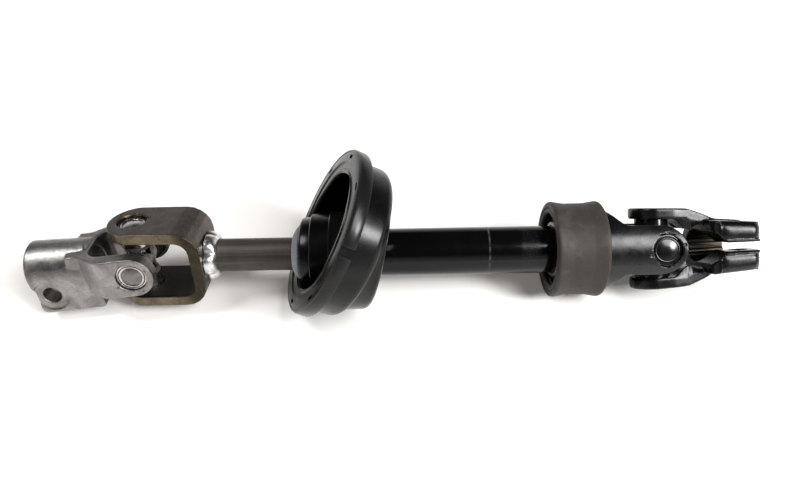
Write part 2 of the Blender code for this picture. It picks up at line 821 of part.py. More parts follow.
def tube_yoke(parent):
    """A turned cup whose far side is cut into two curved ears."""
    tip = UPPER_CROSS_STATION + TUBE_YOKE_TIP
    ear_bore = SKIRT_RADIUS - TUBE_YOKE_EAR_WALL
    fork_floor = SKIRT_FLOOR + TUBE_YOKE_WEB
    yoke = turned(
        "tube_yoke",
        [
            (ear_bore, tip + OVERRUN),
            (SKIRT_RADIUS, tip + OVERRUN),
            (SKIRT_RADIUS, SKIRT_START),
            (SKIRT_BORE, SKIRT_START),
            (SKIRT_BORE, SKIRT_FLOOR),
            (0.0, SKIRT_FLOOR),
            (0.0, fork_floor),
            (ear_bore - TUBE_YOKE_FILLET, fork_floor),
            (ear_bore, fork_floor + TUBE_YOKE_FILLET),
        ],
        SATIN_BLACK,
        ROUND,
    )
    place(yoke, parent, rotation=ALONG_X)
    half = TUBE_YOKE_EAR_HALF_WIDTH
    shoulder = TUBE_YOKE_SHOULDER_STATION
    wide = SKIRT_RADIUS + OVERRUN
    flare = rounded(
        [
            (SKIRT_START - OVERRUN, 0.0, 0.0),
            (SKIRT_START - OVERRUN, wide, 0.0),
            (shoulder - OVERRUN, wide, 0.0),
            (shoulder + TUBE_YOKE_SHOULDER_LENGTH, half, TUBE_YOKE_FILLET),
            (tip, half, 0.0),
        ]
    )
    outline = plate_cutter(
        "tube_yoke_outline",
        [mirrored(flare[1:-1] + arc((tip - half, 0.0), half, 90.0, 10.0, 6))],
        4 * SKIRT_RADIUS,
    )
    place(outline, parent)
    join(yoke, outline, "INTERSECT")
    return yoke


def end_arm_outline(side):
    """One ear, seen from the side, with the neck that brings it in to the barrel."""
    across, thick = END_HALF_ACROSS, END_PLATE
    ear_end = END_EAR_LENGTH
    low_across = across - (END_TIP + ear_end) * math.tan(END_EAR_TAPER)
    neck_end = ear_end + END_NECK_LENGTH
    barrel = END_BORE_RADIUS + thick
    inner = barrel - thick + GAP
    bend = END_NECK_RADIUS
    arm = rounded(
        [
            (-END_TIP - OVERRUN, across, 0.0),
            (ear_end, low_across, bend),
            (neck_end, barrel, bend),
            (END_BARREL_END - GAP, barrel - GAP, 0.0),
            (END_BARREL_END - GAP, inner, 0.0),
            (neck_end - GAP, inner, bend - thick / 3),
            (ear_end - GAP, low_across - thick, bend - thick / 3),
            (-END_TIP - OVERRUN, across - thick, 0.0),
        ]
    )
    return [(x, side * z) for x, z in arm]


def end_lug(parent, end, side):
    """One clamp lug: the plate lies double, with a groove where the two layers meet."""
    low, layer, reach = END_SPLIT / 2, END_LUG_LAYER, END_LUG_REACH
    groove = END_LUG_GROOVE
    mouth, hem, back = END_LUG_ROUNDS
    root = -0.30 * END_BORE_RADIUS
    section = rounded(
        [
            (root, low, 0.0),
            (-reach, low, mouth),
            (-reach, low + layer - groove, hem),
            (groove - reach, low + layer, 0.0),
            (-reach, low + layer + groove, hem),
            (-reach, low + 2 * layer, back),
            (root, low + 2 * layer, 0.0),
        ]
    )
    length = END_LUG_END - END_LUG_START
    lug = plate_cutter(f"end_lug_{end}", [[(y, side * z) for y, z in section]], length)
    place(lug, parent, (END_LUG_START + length / 2, 0.0, 0.0), SECTION_PLANE)
    plan = rounded(
        [
            (END_LUG_START - GAP, 0.0, 0.0),
            (END_LUG_START - GAP, -reach - GAP, END_LUG_CORNERS[0]),
            (END_LUG_END + GAP, -reach - GAP, END_LUG_CORNERS[1]),
            (END_LUG_END + GAP, 0.0, 0.0),
        ],
        steps=5,
    )
    outline = plate_cutter(f"end_lug_outline_{end}", [plan], 4 * END_HALF_ACROSS)
    place(outline, parent)
    return join(lug, outline, "INTERSECT")


def end_yoke(parent):
    """A stamping: two ears that neck in to a serrated barrel, split between two double lugs."""
    width = 2 * END_EAR_HALF_WIDTH
    yoke = plate("upper_end_yoke", [end_arm_outline(1)], width, SATIN_BLACK)
    place(yoke, parent, rotation=FORK_PLANE)
    soften(yoke, END_EDGE, 1)
    other = plate_cutter("end_arm_b", [end_arm_outline(-1)], width)
    place(other, parent, rotation=FORK_PLANE)
    soften(other, END_EDGE, 1)
    join(yoke, other, "UNION")
    side = END_EAR_HALF_WIDTH + GAP
    neck_end = END_EAR_LENGTH + END_NECK_LENGTH
    neck = 0.75 * side
    plan = [
        (END_EAR_LENGTH - END_NECK_RADIUS, -side),
        (neck_end, -neck),
        (END_BARREL_END + OVERRUN, -neck),
        (END_BARREL_END + OVERRUN, neck),
        (neck_end, neck),
        (END_EAR_LENGTH - END_NECK_RADIUS, side),
    ]
    tips = arc((side - END_TIP, 0.0), side, 90.0, 270.0, 12)
    outline = plate_cutter("end_outline", [tips + plan], 4 * END_HALF_ACROSS)
    place(outline, parent)
    join(yoke, outline, "INTERSECT")
    barrel_radius = END_BORE_RADIUS + END_PLATE
    barrel = rod_cutter("end_barrel", barrel_radius, END_BARREL_START, END_BARREL_END)
    place(barrel, parent, rotation=ALONG_X)
    join(yoke, barrel, "UNION")
    for end, turn in (("a", 1), ("b", -1)):
        join(yoke, end_lug(parent, end, turn), "UNION")
    bore, middle = serrated_bore(
        "end_bore", END_BORE_RADIUS, END_BARREL_START - END_PLATE, END_BARREL_END + END_PLATE
    )
    place(bore, parent, middle, SECTION_PLANE)
    join(yoke, bore, "DIFFERENCE")
    gap = cutter(
        "end_split",
        block_mesh(
            "end_split",
            (END_BARREL_START - END_PLATE, -2 * END_LUG_REACH, -END_SPLIT / 2),
            (END_BARREL_END + END_PLATE, 0.0, END_SPLIT / 2),
        ),
    )
    place(gap, parent)
    join(yoke, gap, "DIFFERENCE")
    across = 2 * END_HALF_ACROSS
    mouth = plate_cutter(
        "end_mouth",
        [
            mirrored(
                [
                    (END_MOUTH_START, END_MOUTH_HALF_WIDTH),
                    (END_MOUTH_END, END_SPLIT / 2),
                ]
            )
        ],
        across,
    )
    place(mouth, parent, (0.0, -across / 2 - GAP, 0.0), FORK_PLANE)
    join(yoke, mouth, "DIFFERENCE")
    hole = rod_cutter("end_bolt_hole", END_BOLT_RADIUS, -across, across, SMALL)
    place(hole, parent, (END_BOLT_AT, -END_BOLT_OFFSET, 0.0))
    join(yoke, hole, "DIFFERENCE")
    gauge = rod_cutter("end_gauge_hole", END_GAUGE_HOLE_RADIUS, END_BORE_RADIUS, across, 12)
    place(gauge, parent, (END_GAUGE_HOLE_AT, 0.0, 0.0))
    join(yoke, gauge, "DIFFERENCE")
    cup_seats(yoke, parent, across)


# Boot

BOOT_SHELF = BOOT_FLANGE_WIDTH + BOOT_TIER1_LENGTH
BOOT_DEPTH = BOOT_SHELF + BOOT_TIER2_LENGTH
BUSH_RADIUS = TUBE_RADIUS + GAP + BOOT_BUSH_WALL
BUSH_START = TUBE_MOUTH_STATION + 2 * GAP


def boot_section(height):
    """Where a section of the boot is centred and how far it leans. Height 0 is the front face.

    The flange and the first tier are straight. The second tier is a wedge that leans less at its back.
    """
    straight = min(-height, BOOT_SHELF)
    station = BOOT_STATION + straight * math.cos(BOOT_TILT)
    rise = BOOT_RISE - straight * math.sin(BOOT_TILT)
    share = max(0.0, (-height - BOOT_SHELF) / BOOT_TIER2_LENGTH)
    station += share * (BOOT_BACK_STATION - station)
    rise += share * (BOOT_BACK_RISE - rise)
    tilt = BOOT_TILT + share * (BOOT_BACK_TILT - BOOT_TILT)
    return (station, BOOT_SIDE, rise), tilt


def leaning_mesh(name, profile, segments):
    """A closed shape from (radius, height) points, whose round sections follow the boot's lean."""
    bm = bmesh.new()
    rings = []
    for radius, height in profile:
        (x, y, z), tilt = boot_section(height)
        if radius == 0.0:
            rings.append([bm.verts.new((x, y, z))] * segments)
            continue
        ring = []
        for i in range(segments):
            angle = 2 * math.pi * i / segments
            up, side = radius * math.cos(angle), radius * math.sin(angle)
            ring.append(bm.verts.new((x + up * math.sin(tilt), y + side, z + up * math.cos(tilt))))
        rings.append(ring)
    for upper, lower in zip(rings, rings[1:]):
        for i in range(segments):
            k = (i + 1) % segments
            corners = dict.fromkeys((upper[i], upper[k], lower[k], lower[i]))
            bm.faces.new(corners).smooth = True
    bmesh.ops.recalc_face_normals(bm, faces=bm.faces)
    mesh = bpy.data.meshes.new(name)
    bm.to_mesh(mesh)
    bm.free()
    return mesh


def boot_cup_profile():
    """The flange, its two tiers and the back wall, with the front face at height 0."""
    flange, tier1, tier2, back = BOOT_FLANGE_RADIUS, BOOT_TIER1_RADIUS, BOOT_TIER2_RADIUS, BOOT_BACK_RADIUS
    edge, wall, lip, shoulder = BOOT_EDGE, BOOT_WALL, BOOT_LIP, BOOT_SHOULDER
    shelf, floor = -BOOT_SHELF, -BOOT_DEPTH
    bend = 2.5 * edge
    return [
        (0.0, floor + wall),
        (back - wall - edge, floor + wall),
        (tier2 - wall, shelf),
        (tier1 - wall, shelf + wall),
        (tier1 - wall, -lip),
        (BOOT_OPENING_RADIUS + edge, -lip),
        (BOOT_OPENING_RADIUS, -lip / 2),
        (BOOT_OPENING_RADIUS + edge / 2, 0.0),
        (flange - edge, 0.0),
        (flange, -edge),
        (flange, edge / 2 - BOOT_FLANGE_WIDTH),
        (flange - edge / 2, -BOOT_FLANGE_WIDTH),
        (tier1, -BOOT_FLANGE_WIDTH),
        *arc((tier1 - shoulder, shelf + shoulder), shoulder, 0.0, -80.0, 4),
        (tier2, shelf - edge / 2),
        *arc((back - bend, floor + bend), bend, 0.0, -90.0, 3),
        (0.0, floor),
    ]


def boot(parent):
    """The rubber boot: a cup that leans back, and a stepped sleeve in line with the shaft."""
    body = piece("boot", leaning_mesh("boot", boot_cup_profile(), ROUND), BOOT_RUBBER)
    place(body, parent)
    nose, step1, step2 = BOOT_NOSE_STATION, BOOT_STEP1_STATION, BOOT_STEP2_STATION
    first, second, third = BOOT_STEP_RADII
    rim = BOOT_RIM
    sleeve = turned_cutter(
        "boot_sleeve",
        [
            (0.0, 0.0),
            (third, 0.0),
            (third, step2 + rim),
            (third - rim, step2),
            (second, step2),
            (second, step1 + rim),
            (second - rim, step1),
            (first, step1),
            (first, nose + 2 * rim),
            (first - rim, nose + rim / 2),
            (first - 2.5 * rim, nose),
            (0.0, nose),
        ],
        ROUND,
    )
    place(sleeve, parent, rotation=ALONG_X)
    reach = 2 * BOOT_FLANGE_RADIUS
    wall_centre, wall_tilt = boot_section(BOOT_WALL / 2 - BOOT_DEPTH)
    behind = cutter("boot_behind", block_mesh("boot_behind", (-reach, -reach, -reach), (reach, reach, 0.0)))
    place(behind, parent, wall_centre, (0.0, wall_tilt - math.pi / 2, 0.0))
    join(sleeve, behind, "DIFFERENCE")
    join(body, sleeve, "UNION")
    neck = rod_cutter("boot_neck", BOOT_NECK_RADIUS, BOOT_STEP2_STATION, BOOT_NECK_STATION, ROUND)
    place(neck, parent, rotation=ALONG_X)
    join(body, neck, "UNION")
    bush_end = BUSH_START + BOOT_BUSH_LENGTH
    wiper_front = TUBE_MOUTH_STATION - GAP - WIPER_LENGTH
    bore = turned_cutter(
        "boot_bore",
        [
            (0.0, BOOT_NECK_STATION + reach),
            (TUBE_RADIUS + GAP, BOOT_NECK_STATION + reach),
            (TUBE_RADIUS + GAP, bush_end + GAP),
            (BUSH_RADIUS + GAP, bush_end + GAP),
            (BUSH_RADIUS + GAP, BUSH_START - GAP),
            (WIPER_RADIUS + GAP, BUSH_START - GAP),
            (WIPER_RADIUS + GAP, wiper_front - GAP),
            (SHAFT_RADIUS + GAP, wiper_front - GAP),
            (SHAFT_RADIUS + GAP, wiper_front - reach),
            (0.0, wiper_front - reach),
        ],
        MEDIUM,
    )
    place(bore, parent, rotation=ALONG_X)
    join(body, bore, "DIFFERENCE")
    boot_slots(body, parent)
    bush = turned(
        "boot_bush",
        [
            (BUSH_RADIUS, bush_end),
            (BUSH_RADIUS, BUSH_START),
            (TUBE_RADIUS + GAP, BUSH_START),
            (TUBE_RADIUS + GAP, bush_end),
        ],
        SLIDE_NYLON,
        MEDIUM,
    )
    place(bush, parent, rotation=ALONG_X)
    wiper_back = wiper_front + WIPER_LENGTH
    wiper = turned(
        "wiper_seal",
        [
            (WIPER_RADIUS, wiper_back),
            (WIPER_RADIUS, wiper_front + 0.60 * WIPER_LENGTH),
            (WIPER_RADIUS - 0.25 * WIPER_LENGTH, wiper_front + 0.20 * WIPER_LENGTH),
            (WIPER_RADIUS - 0.70 * WIPER_LENGTH, wiper_front),
            (SHAFT_RADIUS + GAP, wiper_front),
            (SHAFT_RADIUS + GAP, wiper_back),
        ],
        WIPER_FELT,
        MEDIUM,
    )
    place(wiper, parent, rotation=ALONG_X)


def boot_slots(body, parent):
    """Cuts the slots round the flange face, and the one notch through its rim."""
    centre, tilt = boot_section(0.0)
    hub = frame("boot_face_frame", parent, centre, (0.0, tilt - math.pi / 2, 0.0))
    for i in range(BOOT_SLOT_COUNT):
        notch = i == BOOT_NOTCH_AT
        across, along, deep = BOOT_NOTCH_SIZE if notch else BOOT_SLOT_SIZE
        radius = BOOT_FLANGE_RADIUS if notch else BOOT_SLOT_RADIUS
        angle = BOOT_SLOT_PHASE + 2 * math.pi * i / BOOT_SLOT_COUNT
        size = (across / 2, along / 2, deep / 2)
        slot = cutter(f"boot_slot_{i}", block_mesh("boot_slot", [-v for v in size], size))
        place(slot, hub, (radius * math.cos(angle), radius * math.sin(angle), 0.0), (0.0, 0.0, angle))
        join(body, slot, "DIFFERENCE")


def build():
    assembly = frame("assembly", None, (CENTRE_SHIFT, SIDE_SHIFT, AXIS_HEIGHT))
    inner = frame("inner_shaft_frame", assembly, rotation=(STRAP_ROLL, 0.0, 0.0))
    strap = frame("strap_frame", inner, (LOWER_CROSS_STATION, 0.0, 0.0))
    web_station = LOWER_CROSS_STATION + STRAP_WEB
    strap_yoke(strap)
    bearing_pair("strap_yoke", strap)
    weld_bead(inner, web_station)
    inner_shaft(inner, web_station)
    lower = frame("lower_cross_frame", strap, rotation=(0.0, 0.0, math.pi + LOWER_SWING))
    cross("lower", lower)
    clamp = frame("clamp_frame", lower, rotation=(-math.pi / 2, LOWER_NOD, 0.0))
    clamp_yoke(clamp)
    bearing_pair("clamp_yoke", clamp)
    tube = frame("tube_frame", assembly, rotation=(TUBE_ROLL, 0.0, 0.0))
    outer_tube(tube)
    isolator(tube)
    ears = frame("tube_yoke_frame", tube, (UPPER_CROSS_STATION, 0.0, 0.0))
    cup_seats(tube_yoke(tube), ears, 2 * SKIRT_RADIUS)
    bearing_pair("tube_yoke", ears)
    upper = frame("upper_cross_frame", ears, rotation=(0.0, 0.0, UPPER_SWING))
    cross("upper", upper)
    end = frame("end_yoke_frame", upper, rotation=(-math.pi / 2, 0.0, 0.0))
    end_yoke(end)
    bearing_pair("end_yoke", end)
    boot(frame("boot_frame", assembly))


build()
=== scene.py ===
"""The looks of the intermediate steering shaft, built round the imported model.

Metres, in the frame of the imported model. A turned piece is a profile of (radius, height) points, and its
height runs along the piece's axis. Colours are linear.
"""

import json
import math
import random

import bmesh
import bpy
from mathutils import Matrix, Vector, noise


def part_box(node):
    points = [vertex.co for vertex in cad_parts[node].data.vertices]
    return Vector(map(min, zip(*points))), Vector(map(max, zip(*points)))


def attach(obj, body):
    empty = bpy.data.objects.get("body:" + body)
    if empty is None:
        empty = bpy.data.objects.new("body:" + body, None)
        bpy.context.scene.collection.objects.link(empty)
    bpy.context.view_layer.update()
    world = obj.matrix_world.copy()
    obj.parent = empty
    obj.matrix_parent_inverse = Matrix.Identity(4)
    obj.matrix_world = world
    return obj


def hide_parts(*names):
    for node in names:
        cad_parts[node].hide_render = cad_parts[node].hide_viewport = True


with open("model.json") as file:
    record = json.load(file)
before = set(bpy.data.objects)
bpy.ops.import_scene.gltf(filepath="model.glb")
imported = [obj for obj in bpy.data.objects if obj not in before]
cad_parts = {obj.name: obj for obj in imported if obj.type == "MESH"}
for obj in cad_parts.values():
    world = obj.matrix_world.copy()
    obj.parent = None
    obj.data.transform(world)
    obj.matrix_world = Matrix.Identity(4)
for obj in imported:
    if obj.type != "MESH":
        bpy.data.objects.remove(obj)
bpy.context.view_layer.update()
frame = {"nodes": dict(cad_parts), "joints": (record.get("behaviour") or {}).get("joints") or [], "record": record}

MM = 0.001
JOINTS = {joint["name"]: joint for joint in frame["joints"]}
MOUNTS = {mount["name"]: mount for mount in frame["record"]["mounts"]}


def joint_point(name):
    return Vector(JOINTS[name]["pos_m"])


def joint_axis(name):
    return Vector(JOINTS[name]["axis"]).normalized()


def scene_object(name, data):
    """A new object, linked to the scene."""
    obj = bpy.data.objects.new(name, data)
    bpy.context.scene.collection.objects.link(obj)
    return obj


# The shaft's own line, and the stations that the frame gives
TUBE_LOW, TUBE_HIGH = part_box("outer_tube")
AXIS_POINT = Vector((0.0, (TUBE_LOW.y + TUBE_HIGH.y) / 2, (TUBE_LOW.z + TUBE_HIGH.z) / 2))
TUBE_RADIUS = (TUBE_HIGH.y - TUBE_LOW.y) / 2
RING_LOW, RING_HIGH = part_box("isolator_ring")
WELD_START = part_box("weld_bead")[0].x
SHAFT_LOW, SHAFT_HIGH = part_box("inner_shaft")
WIPER_LOW, WIPER_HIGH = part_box("wiper_seal")
LOWER_CENTRE = joint_point("lower_cross_hinge")
UPPER_CENTRE = joint_point("upper_cross_hinge")

# Axes of the four ear pairs, and of both clamp bores
STRAP_EARS = joint_axis("lower_cross_hinge")
CLAMP_EARS = joint_axis("lower_yoke_hinge")
TUBE_EARS = joint_axis("upper_cross_hinge")
END_EARS = joint_axis("upper_yoke_hinge")
HUB_LINE = Vector(MOUNTS["hub_end_face"]["axis"]).normalized()
BARREL_LINE = END_EARS.cross(TUBE_EARS).normalized()

# Camera. The photograph is centred on one point of the shaft's line
VIEW_CENTRE_X = (LOWER_CENTRE.x + UPPER_CENTRE.x) / 2 + 1.65 * MM
VIEW_ELEVATION = math.radians(48.0)
VIEW_DISTANCE = 0.310
VIEW_ROLL = math.radians(1.0)
VIEW_RAISE = 0.00195
PHOTO_WIDTH = 799
FOCAL_PIXELS = 604.5
SENSOR = 36.0


def set_camera():
    """The photograph's view: from above and in front, close enough for some perspective."""
    rise = Vector((0.0, math.sin(VIEW_ELEVATION), math.cos(VIEW_ELEVATION)))
    back = Vector((0.0, -math.cos(VIEW_ELEVATION), math.sin(VIEW_ELEVATION)))
    along = Vector((1.0, 0.0, 0.0))
    right = math.cos(VIEW_ROLL) * along - math.sin(VIEW_ROLL) * rise
    top = math.sin(VIEW_ROLL) * along + math.cos(VIEW_ROLL) * rise
    middle = Vector((VIEW_CENTRE_X, AXIS_POINT.y, AXIS_POINT.z))
    data = bpy.data.cameras.new("camera")
    data.sensor_width = SENSOR
    data.lens = FOCAL_PIXELS / PHOTO_WIDTH * SENSOR
    data.clip_start = 0.01
    camera = scene_object("camera", data)
    turn = Matrix((right, top, back)).transposed().to_4x4()
    camera.matrix_world = Matrix.Translation(middle + VIEW_RAISE * rise + VIEW_DISTANCE * back) @ turn
    bpy.context.scene.camera = camera


# Materials

MAP_SOCKETS = ("From Min", "From Max", "To Min", "To Max")


class Finish:
    """A node material with helpers that add and link its nodes."""

    def __init__(self, name, roughness, metallic=0.0, specular=0.5):
        self.material = bpy.data.materials.new(name)
        self.material.use_nodes = True
        self.tree = self.material.node_tree
        self.shader = self.tree.nodes["Principled BSDF"]
        self.shader.inputs["Roughness"].default_value = roughness
        self.shader.inputs["Metallic"].default_value = metallic
        self.shader.inputs["Specular IOR Level"].default_value = specular
        self.place = self.tree.nodes.new("ShaderNodeTexCoord").outputs["Object"]

    def link(self, source, target):
        self.tree.links.new(source, target)

    def stretched(self, scale):
        """Object coordinates, scaled along each axis."""
        mapping = self.tree.nodes.new("ShaderNodeMapping")
        mapping.inputs["Scale"].default_value = scale
        self.link(self.place, mapping.inputs["Vector"])
        return mapping.outputs["Vector"]

    def noise(self, scale, detail=4.0, roughness=0.55, distortion=0.0, place=None):
        node = self.tree.nodes.new("ShaderNodeTexNoise")
        node.inputs["Scale"].default_value = scale
        node.inputs["Detail"].default_value = detail
        node.inputs["Roughness"].default_value = roughness
        node.inputs["Distortion"].default_value = distortion
        self.link(place or self.place, node.inputs["Vector"])
        return node.outputs["Fac"]

    def remap(self, value, low, high, to_low=0.0, to_high=1.0):
        node = self.tree.nodes.new("ShaderNodeMapRange")
        node.clamp = True
        for socket, number in zip(MAP_SOCKETS, (low, high, to_low, to_high)):
            node.inputs[socket].default_value = number
        self.link(value, node.inputs["Value"])
        return node.outputs["Result"]

    def maths(self, operation, first, second):
        node = self.tree.nodes.new("ShaderNodeMath")
        node.operation = operation
        for socket, value in zip(node.inputs, (first, second)):
            if isinstance(value, (int, float)):
                socket.default_value = value
            else:
                self.link(value, socket)
        return node.outputs["Value"]

    def blend(self, share, first, second):
        """A colour between two, by a share. Each is a colour or another node's output."""
        node = self.tree.nodes.new("ShaderNodeMix")
        node.data_type = "RGBA"
        self.link(share, node.inputs["Factor"])
        for socket, value in zip((node.inputs[6], node.inputs[7]), (first, second)):
            if isinstance(value, tuple):
                socket.default_value = (*value, 1.0)
            else:
                self.link(value, socket)
        return node.outputs[2]

    def along(self):
        """The place along the shaft's line."""
        node = self.tree.nodes.new("ShaderNodeSeparateXYZ")
        self.link(self.place, node.inputs["Vector"])
        return node.outputs["X"]

    def edges(self, low, high):
        """0 on flats and 1 on convex edges."""
        node = self.tree.nodes.new("ShaderNodeNewGeometry")
        return self.remap(node.outputs["Pointiness"], low, high)

    def band(self, centre, half_width):
        """1 within a stretch of the shaft's line, falling to 0 at its ends."""
        away = self.maths("ABSOLUTE", self.maths("SUBTRACT", self.along(), centre), 0.0)
        return self.remap(away, half_width * 0.6, half_width, 1.0, 0.0)

    def colour(self, value):
        self.link(value, self.shader.inputs["Base Color"])

    def roughness(self, value):
        self.link(value, self.shader.inputs["Roughness"])

    def bump(self, height, distance, strength=1.0, under=None):
        node = self.tree.nodes.new("ShaderNodeBump")
        node.inputs["Strength"].default_value = strength
        node.inputs["Distance"].default_value = distance
        self.link(height, node.inputs["Height"])
        if under is not None:
            self.link(under, node.inputs["Normal"])
        return node.outputs["Normal"]

    def normal(self, value):
        self.link(value, self.shader.inputs["Normal"])


def forged_steel():
    """Bare shot-blasted forging: silver, with dark stains."""
    f = Finish("forged_steel", 0.34, 1.0)
    stain = f.remap(f.noise(95.0, 6.0, 0.62, 0.6), 0.38, 0.66)
    grain = f.remap(f.noise(900.0, 3.0, 0.6), 0.35, 0.70)
    base = f.blend(stain, (0.34, 0.326, 0.315), (0.160, 0.151, 0.145))
    base = f.blend(f.maths("MULTIPLY", grain, 0.45), base, (0.15, 0.14, 0.135))
    f.colour(base)
    f.roughness(f.remap(f.noise(240.0, 4.0, 0.6), 0.30, 0.70, 0.32, 0.50))
    blast = f.bump(f.noise(2600.0, 2.0, 0.5), 0.00003, 0.7)
    f.normal(f.bump(f.noise(420.0, 3.0, 0.55), 0.00012, 0.6, blast))
    return f.material


def strap_steel():
    """Rolled strip under a brown-grey phosphate coat, with fine lighter specks."""
    f = Finish("strap_steel", 0.42, 1.0)
    cloud = f.remap(f.noise(60.0, 5.0, 0.6, 0.4), 0.35, 0.68)
    base = f.blend(cloud, (0.120, 0.102, 0.090), (0.062, 0.053, 0.047))
    base = f.blend(f.remap(f.noise(1300.0, 2.0, 0.5), 0.5, 0.75, 0.0, 0.35), base, (0.20, 0.175, 0.15))
    f.colour(base)
    f.roughness(f.remap(f.noise(180.0, 4.0, 0.6), 0.30, 0.70, 0.30, 0.50))
    f.normal(f.bump(f.noise(1500.0, 3.0, 0.6), 0.00003, 0.6))
    return f.material


def strap_cut_edge():
    """The strip's sheared edge: olive brown, with bands across it."""
    f = Finish("strap_cut_edge", 0.45, 1.0)
    cloud = f.remap(f.noise(110.0, 5.0, 0.65, 0.5), 0.34, 0.66)
    base = f.blend(cloud, (0.165, 0.140, 0.088), (0.060, 0.051, 0.034))
    base = f.blend(f.remap(f.noise(700.0, 3.0, 0.6), 0.5, 0.75, 0.0, 0.5), base, (0.24, 0.215, 0.165))
    # Toward the web by the weld, the edge turns near black.
    web = f.remap(f.along(), WELD_START - 15.0 * MM, WELD_START - 7.0 * MM)
    base = f.blend(f.maths("MULTIPLY", web, 0.75), base, (0.012, 0.010, 0.008))
    f.colour(base)
    f.roughness(f.remap(f.noise(300.0, 3.0, 0.6), 0.30, 0.70, 0.32, 0.52))
    f.normal(f.bump(f.noise(800.0, 4.0, 0.6), 0.00006, 0.7))
    return f.material


def strap_inside_shade():
    """The strap's inner faces, darkened as painted shade."""
    f = Finish("strap_inside_shade", 0.60, 0.3, 0.2)
    cloud = f.remap(f.noise(120.0, 5.0, 0.6), 0.4, 0.7)
    f.colour(f.blend(cloud, (0.006, 0.005, 0.004), (0.018, 0.015, 0.012)))
    f.normal(f.bump(f.noise(900.0, 3.0, 0.6), 0.00003, 0.5))
    return f.material


def shaft_steel():
    """Drawn bar: brown-grey, with fine lines along its length."""
    f = Finish("shaft_steel", 0.52, 0.55)
    lines = f.noise(1.0, 3.0, 0.6, 0.0, f.stretched((18.0, 1500.0, 1500.0)))
    cloud = f.remap(f.noise(70.0, 4.0, 0.6), 0.35, 0.68)
    base = f.blend(cloud, (0.052, 0.044, 0.038), (0.034, 0.029, 0.025))
    base = f.blend(f.remap(lines, 0.50, 0.72, 0.0, 0.75), base, (0.100, 0.087, 0.074))
    f.colour(base)
    f.roughness(f.remap(lines, 0.3, 0.7, 0.42, 0.60))
    f.normal(f.bump(lines, 0.00003, 0.6))
    return f.material


def weld_metal():
    f = Finish("weld_metal", 0.30, 1.0)
    f.colour(f.blend(f.remap(f.noise(300.0, 4.0, 0.6), 0.45, 0.70), (0.74, 0.74, 0.75), (0.34, 0.32, 0.30)))
    f.roughness(f.remap(f.noise(500.0, 3.0, 0.6), 0.3, 0.7, 0.22, 0.40))
    f.normal(f.bump(f.noise(420.0, 2.0, 0.5), 0.00012, 0.5))
    return f.material


def bearing_steel(name, clean, oily):
    """Ground steel, satin, with a few darker smears of oil."""
    f = Finish(name, 0.26, 1.0)
    smear = f.remap(f.noise(150.0, 4.0, 0.6, 0.8), 0.45, 0.72)
    f.colour(f.blend(smear, clean, oily))
    f.roughness(f.remap(f.noise(400.0, 3.0, 0.6), 0.3, 0.7, 0.16, 0.32))
    f.normal(f.bump(f.noise(1800.0, 2.0, 0.5), 0.00001, 0.6))
    return f.material


def black_paint(name, colour, roughness, ripple, dust, specular):
    """A finish of black paint, with a slight orange peel and a little pale dust."""
    f = Finish(name, roughness, 0.0, specular)
    pale = tuple(min(1.0, 9.0 * value + 0.05) for value in colour)
    f.colour(f.blend(f.remap(f.noise(130.0, 5.0, 0.65), 0.52, 0.80, 0.0, dust), colour, pale))
    f.roughness(f.remap(f.noise(210.0, 4.0, 0.6), 0.3, 0.7, roughness * 0.75, roughness * 1.3))
    f.normal(f.bump(f.noise(850.0, 2.0, 0.5), ripple, 0.5))
    return f


def tube_paint(scratch_at, dull_at, dull_half):
    """The tube's gloss coat, with one ring scratch and a duller, speckled stretch by the isolator."""
    f = black_paint("gloss_black_paint", (0.0020, 0.0020, 0.0022), 0.12, 0.000012, 0.02, 0.22)
    colour = f.shader.inputs["Base Color"].links[0].from_socket
    ring = f.maths("MULTIPLY", f.band(scratch_at, 0.55 * MM), f.remap(f.noise(320.0, 3.0), 0.35, 0.6))
    dull = f.band(dull_at, dull_half)
    speck = f.maths("MULTIPLY", dull, f.remap(f.noise(1500.0, 3.0, 0.7), 0.48, 0.75, 0.0, 0.35))
    colour = f.blend(f.maths("MULTIPLY", ring, 0.35), colour, (0.14, 0.14, 0.14))
    f.colour(f.blend(speck, colour, (0.050, 0.050, 0.058)))
    rough = f.shader.inputs["Roughness"].links[0].from_socket
    f.roughness(f.maths("ADD", rough, f.maths("MULTIPLY", f.maths("MAXIMUM", dull, ring), 0.10)))
    return f.material


def rubber(name, colour, roughness, pale, dust, edge, specular=0.34):
    """Moulded rubber with a fine skin, pale scuffs, and convex edges lightened partly as wear and partly as
    painted highlight.
    """
    f = Finish(name, roughness, 0.0, specular)
    scuff = f.remap(f.noise(75.0, 6.0, 0.70, 0.5), 0.52, 0.78, 0.0, dust)
    speck = f.remap(f.noise(1400.0, 2.0, 0.6), 0.62, 0.78, 0.0, dust)
    base = f.blend(f.maths("MAXIMUM", scuff, speck), colour, pale)
    # Convex edges lightened: partly wear, partly painted highlight.
    base = f.blend(f.maths("MULTIPLY", f.edges(0.52, 0.58), edge), base, pale)
    f.colour(base)
    f.roughness(f.remap(f.noise(160.0, 5.0, 0.65), 0.3, 0.7, roughness * 0.85, roughness * 1.2))
    f.normal(f.bump(f.noise(1700.0, 3.0, 0.6), 0.00003, 0.5))
    return f.material


def felt():
    """Blue-grey felt with pale fibres."""
    f = Finish("wiper_felt", 0.90, 0.0, 0.2)
    fibre = f.noise(2600.0, 3.0, 0.75, 1.2)
    base = f.blend(f.remap(fibre, 0.40, 0.62), (0.030, 0.031, 0.040), (0.28, 0.29, 0.35))
    f.colour(base)
    f.shader.inputs["Sheen Weight"].default_value = 0.5
    f.shader.inputs["Sheen Roughness"].default_value = 0.5
    f.normal(f.bump(fibre, 0.0003, 0.9))
    return f.material


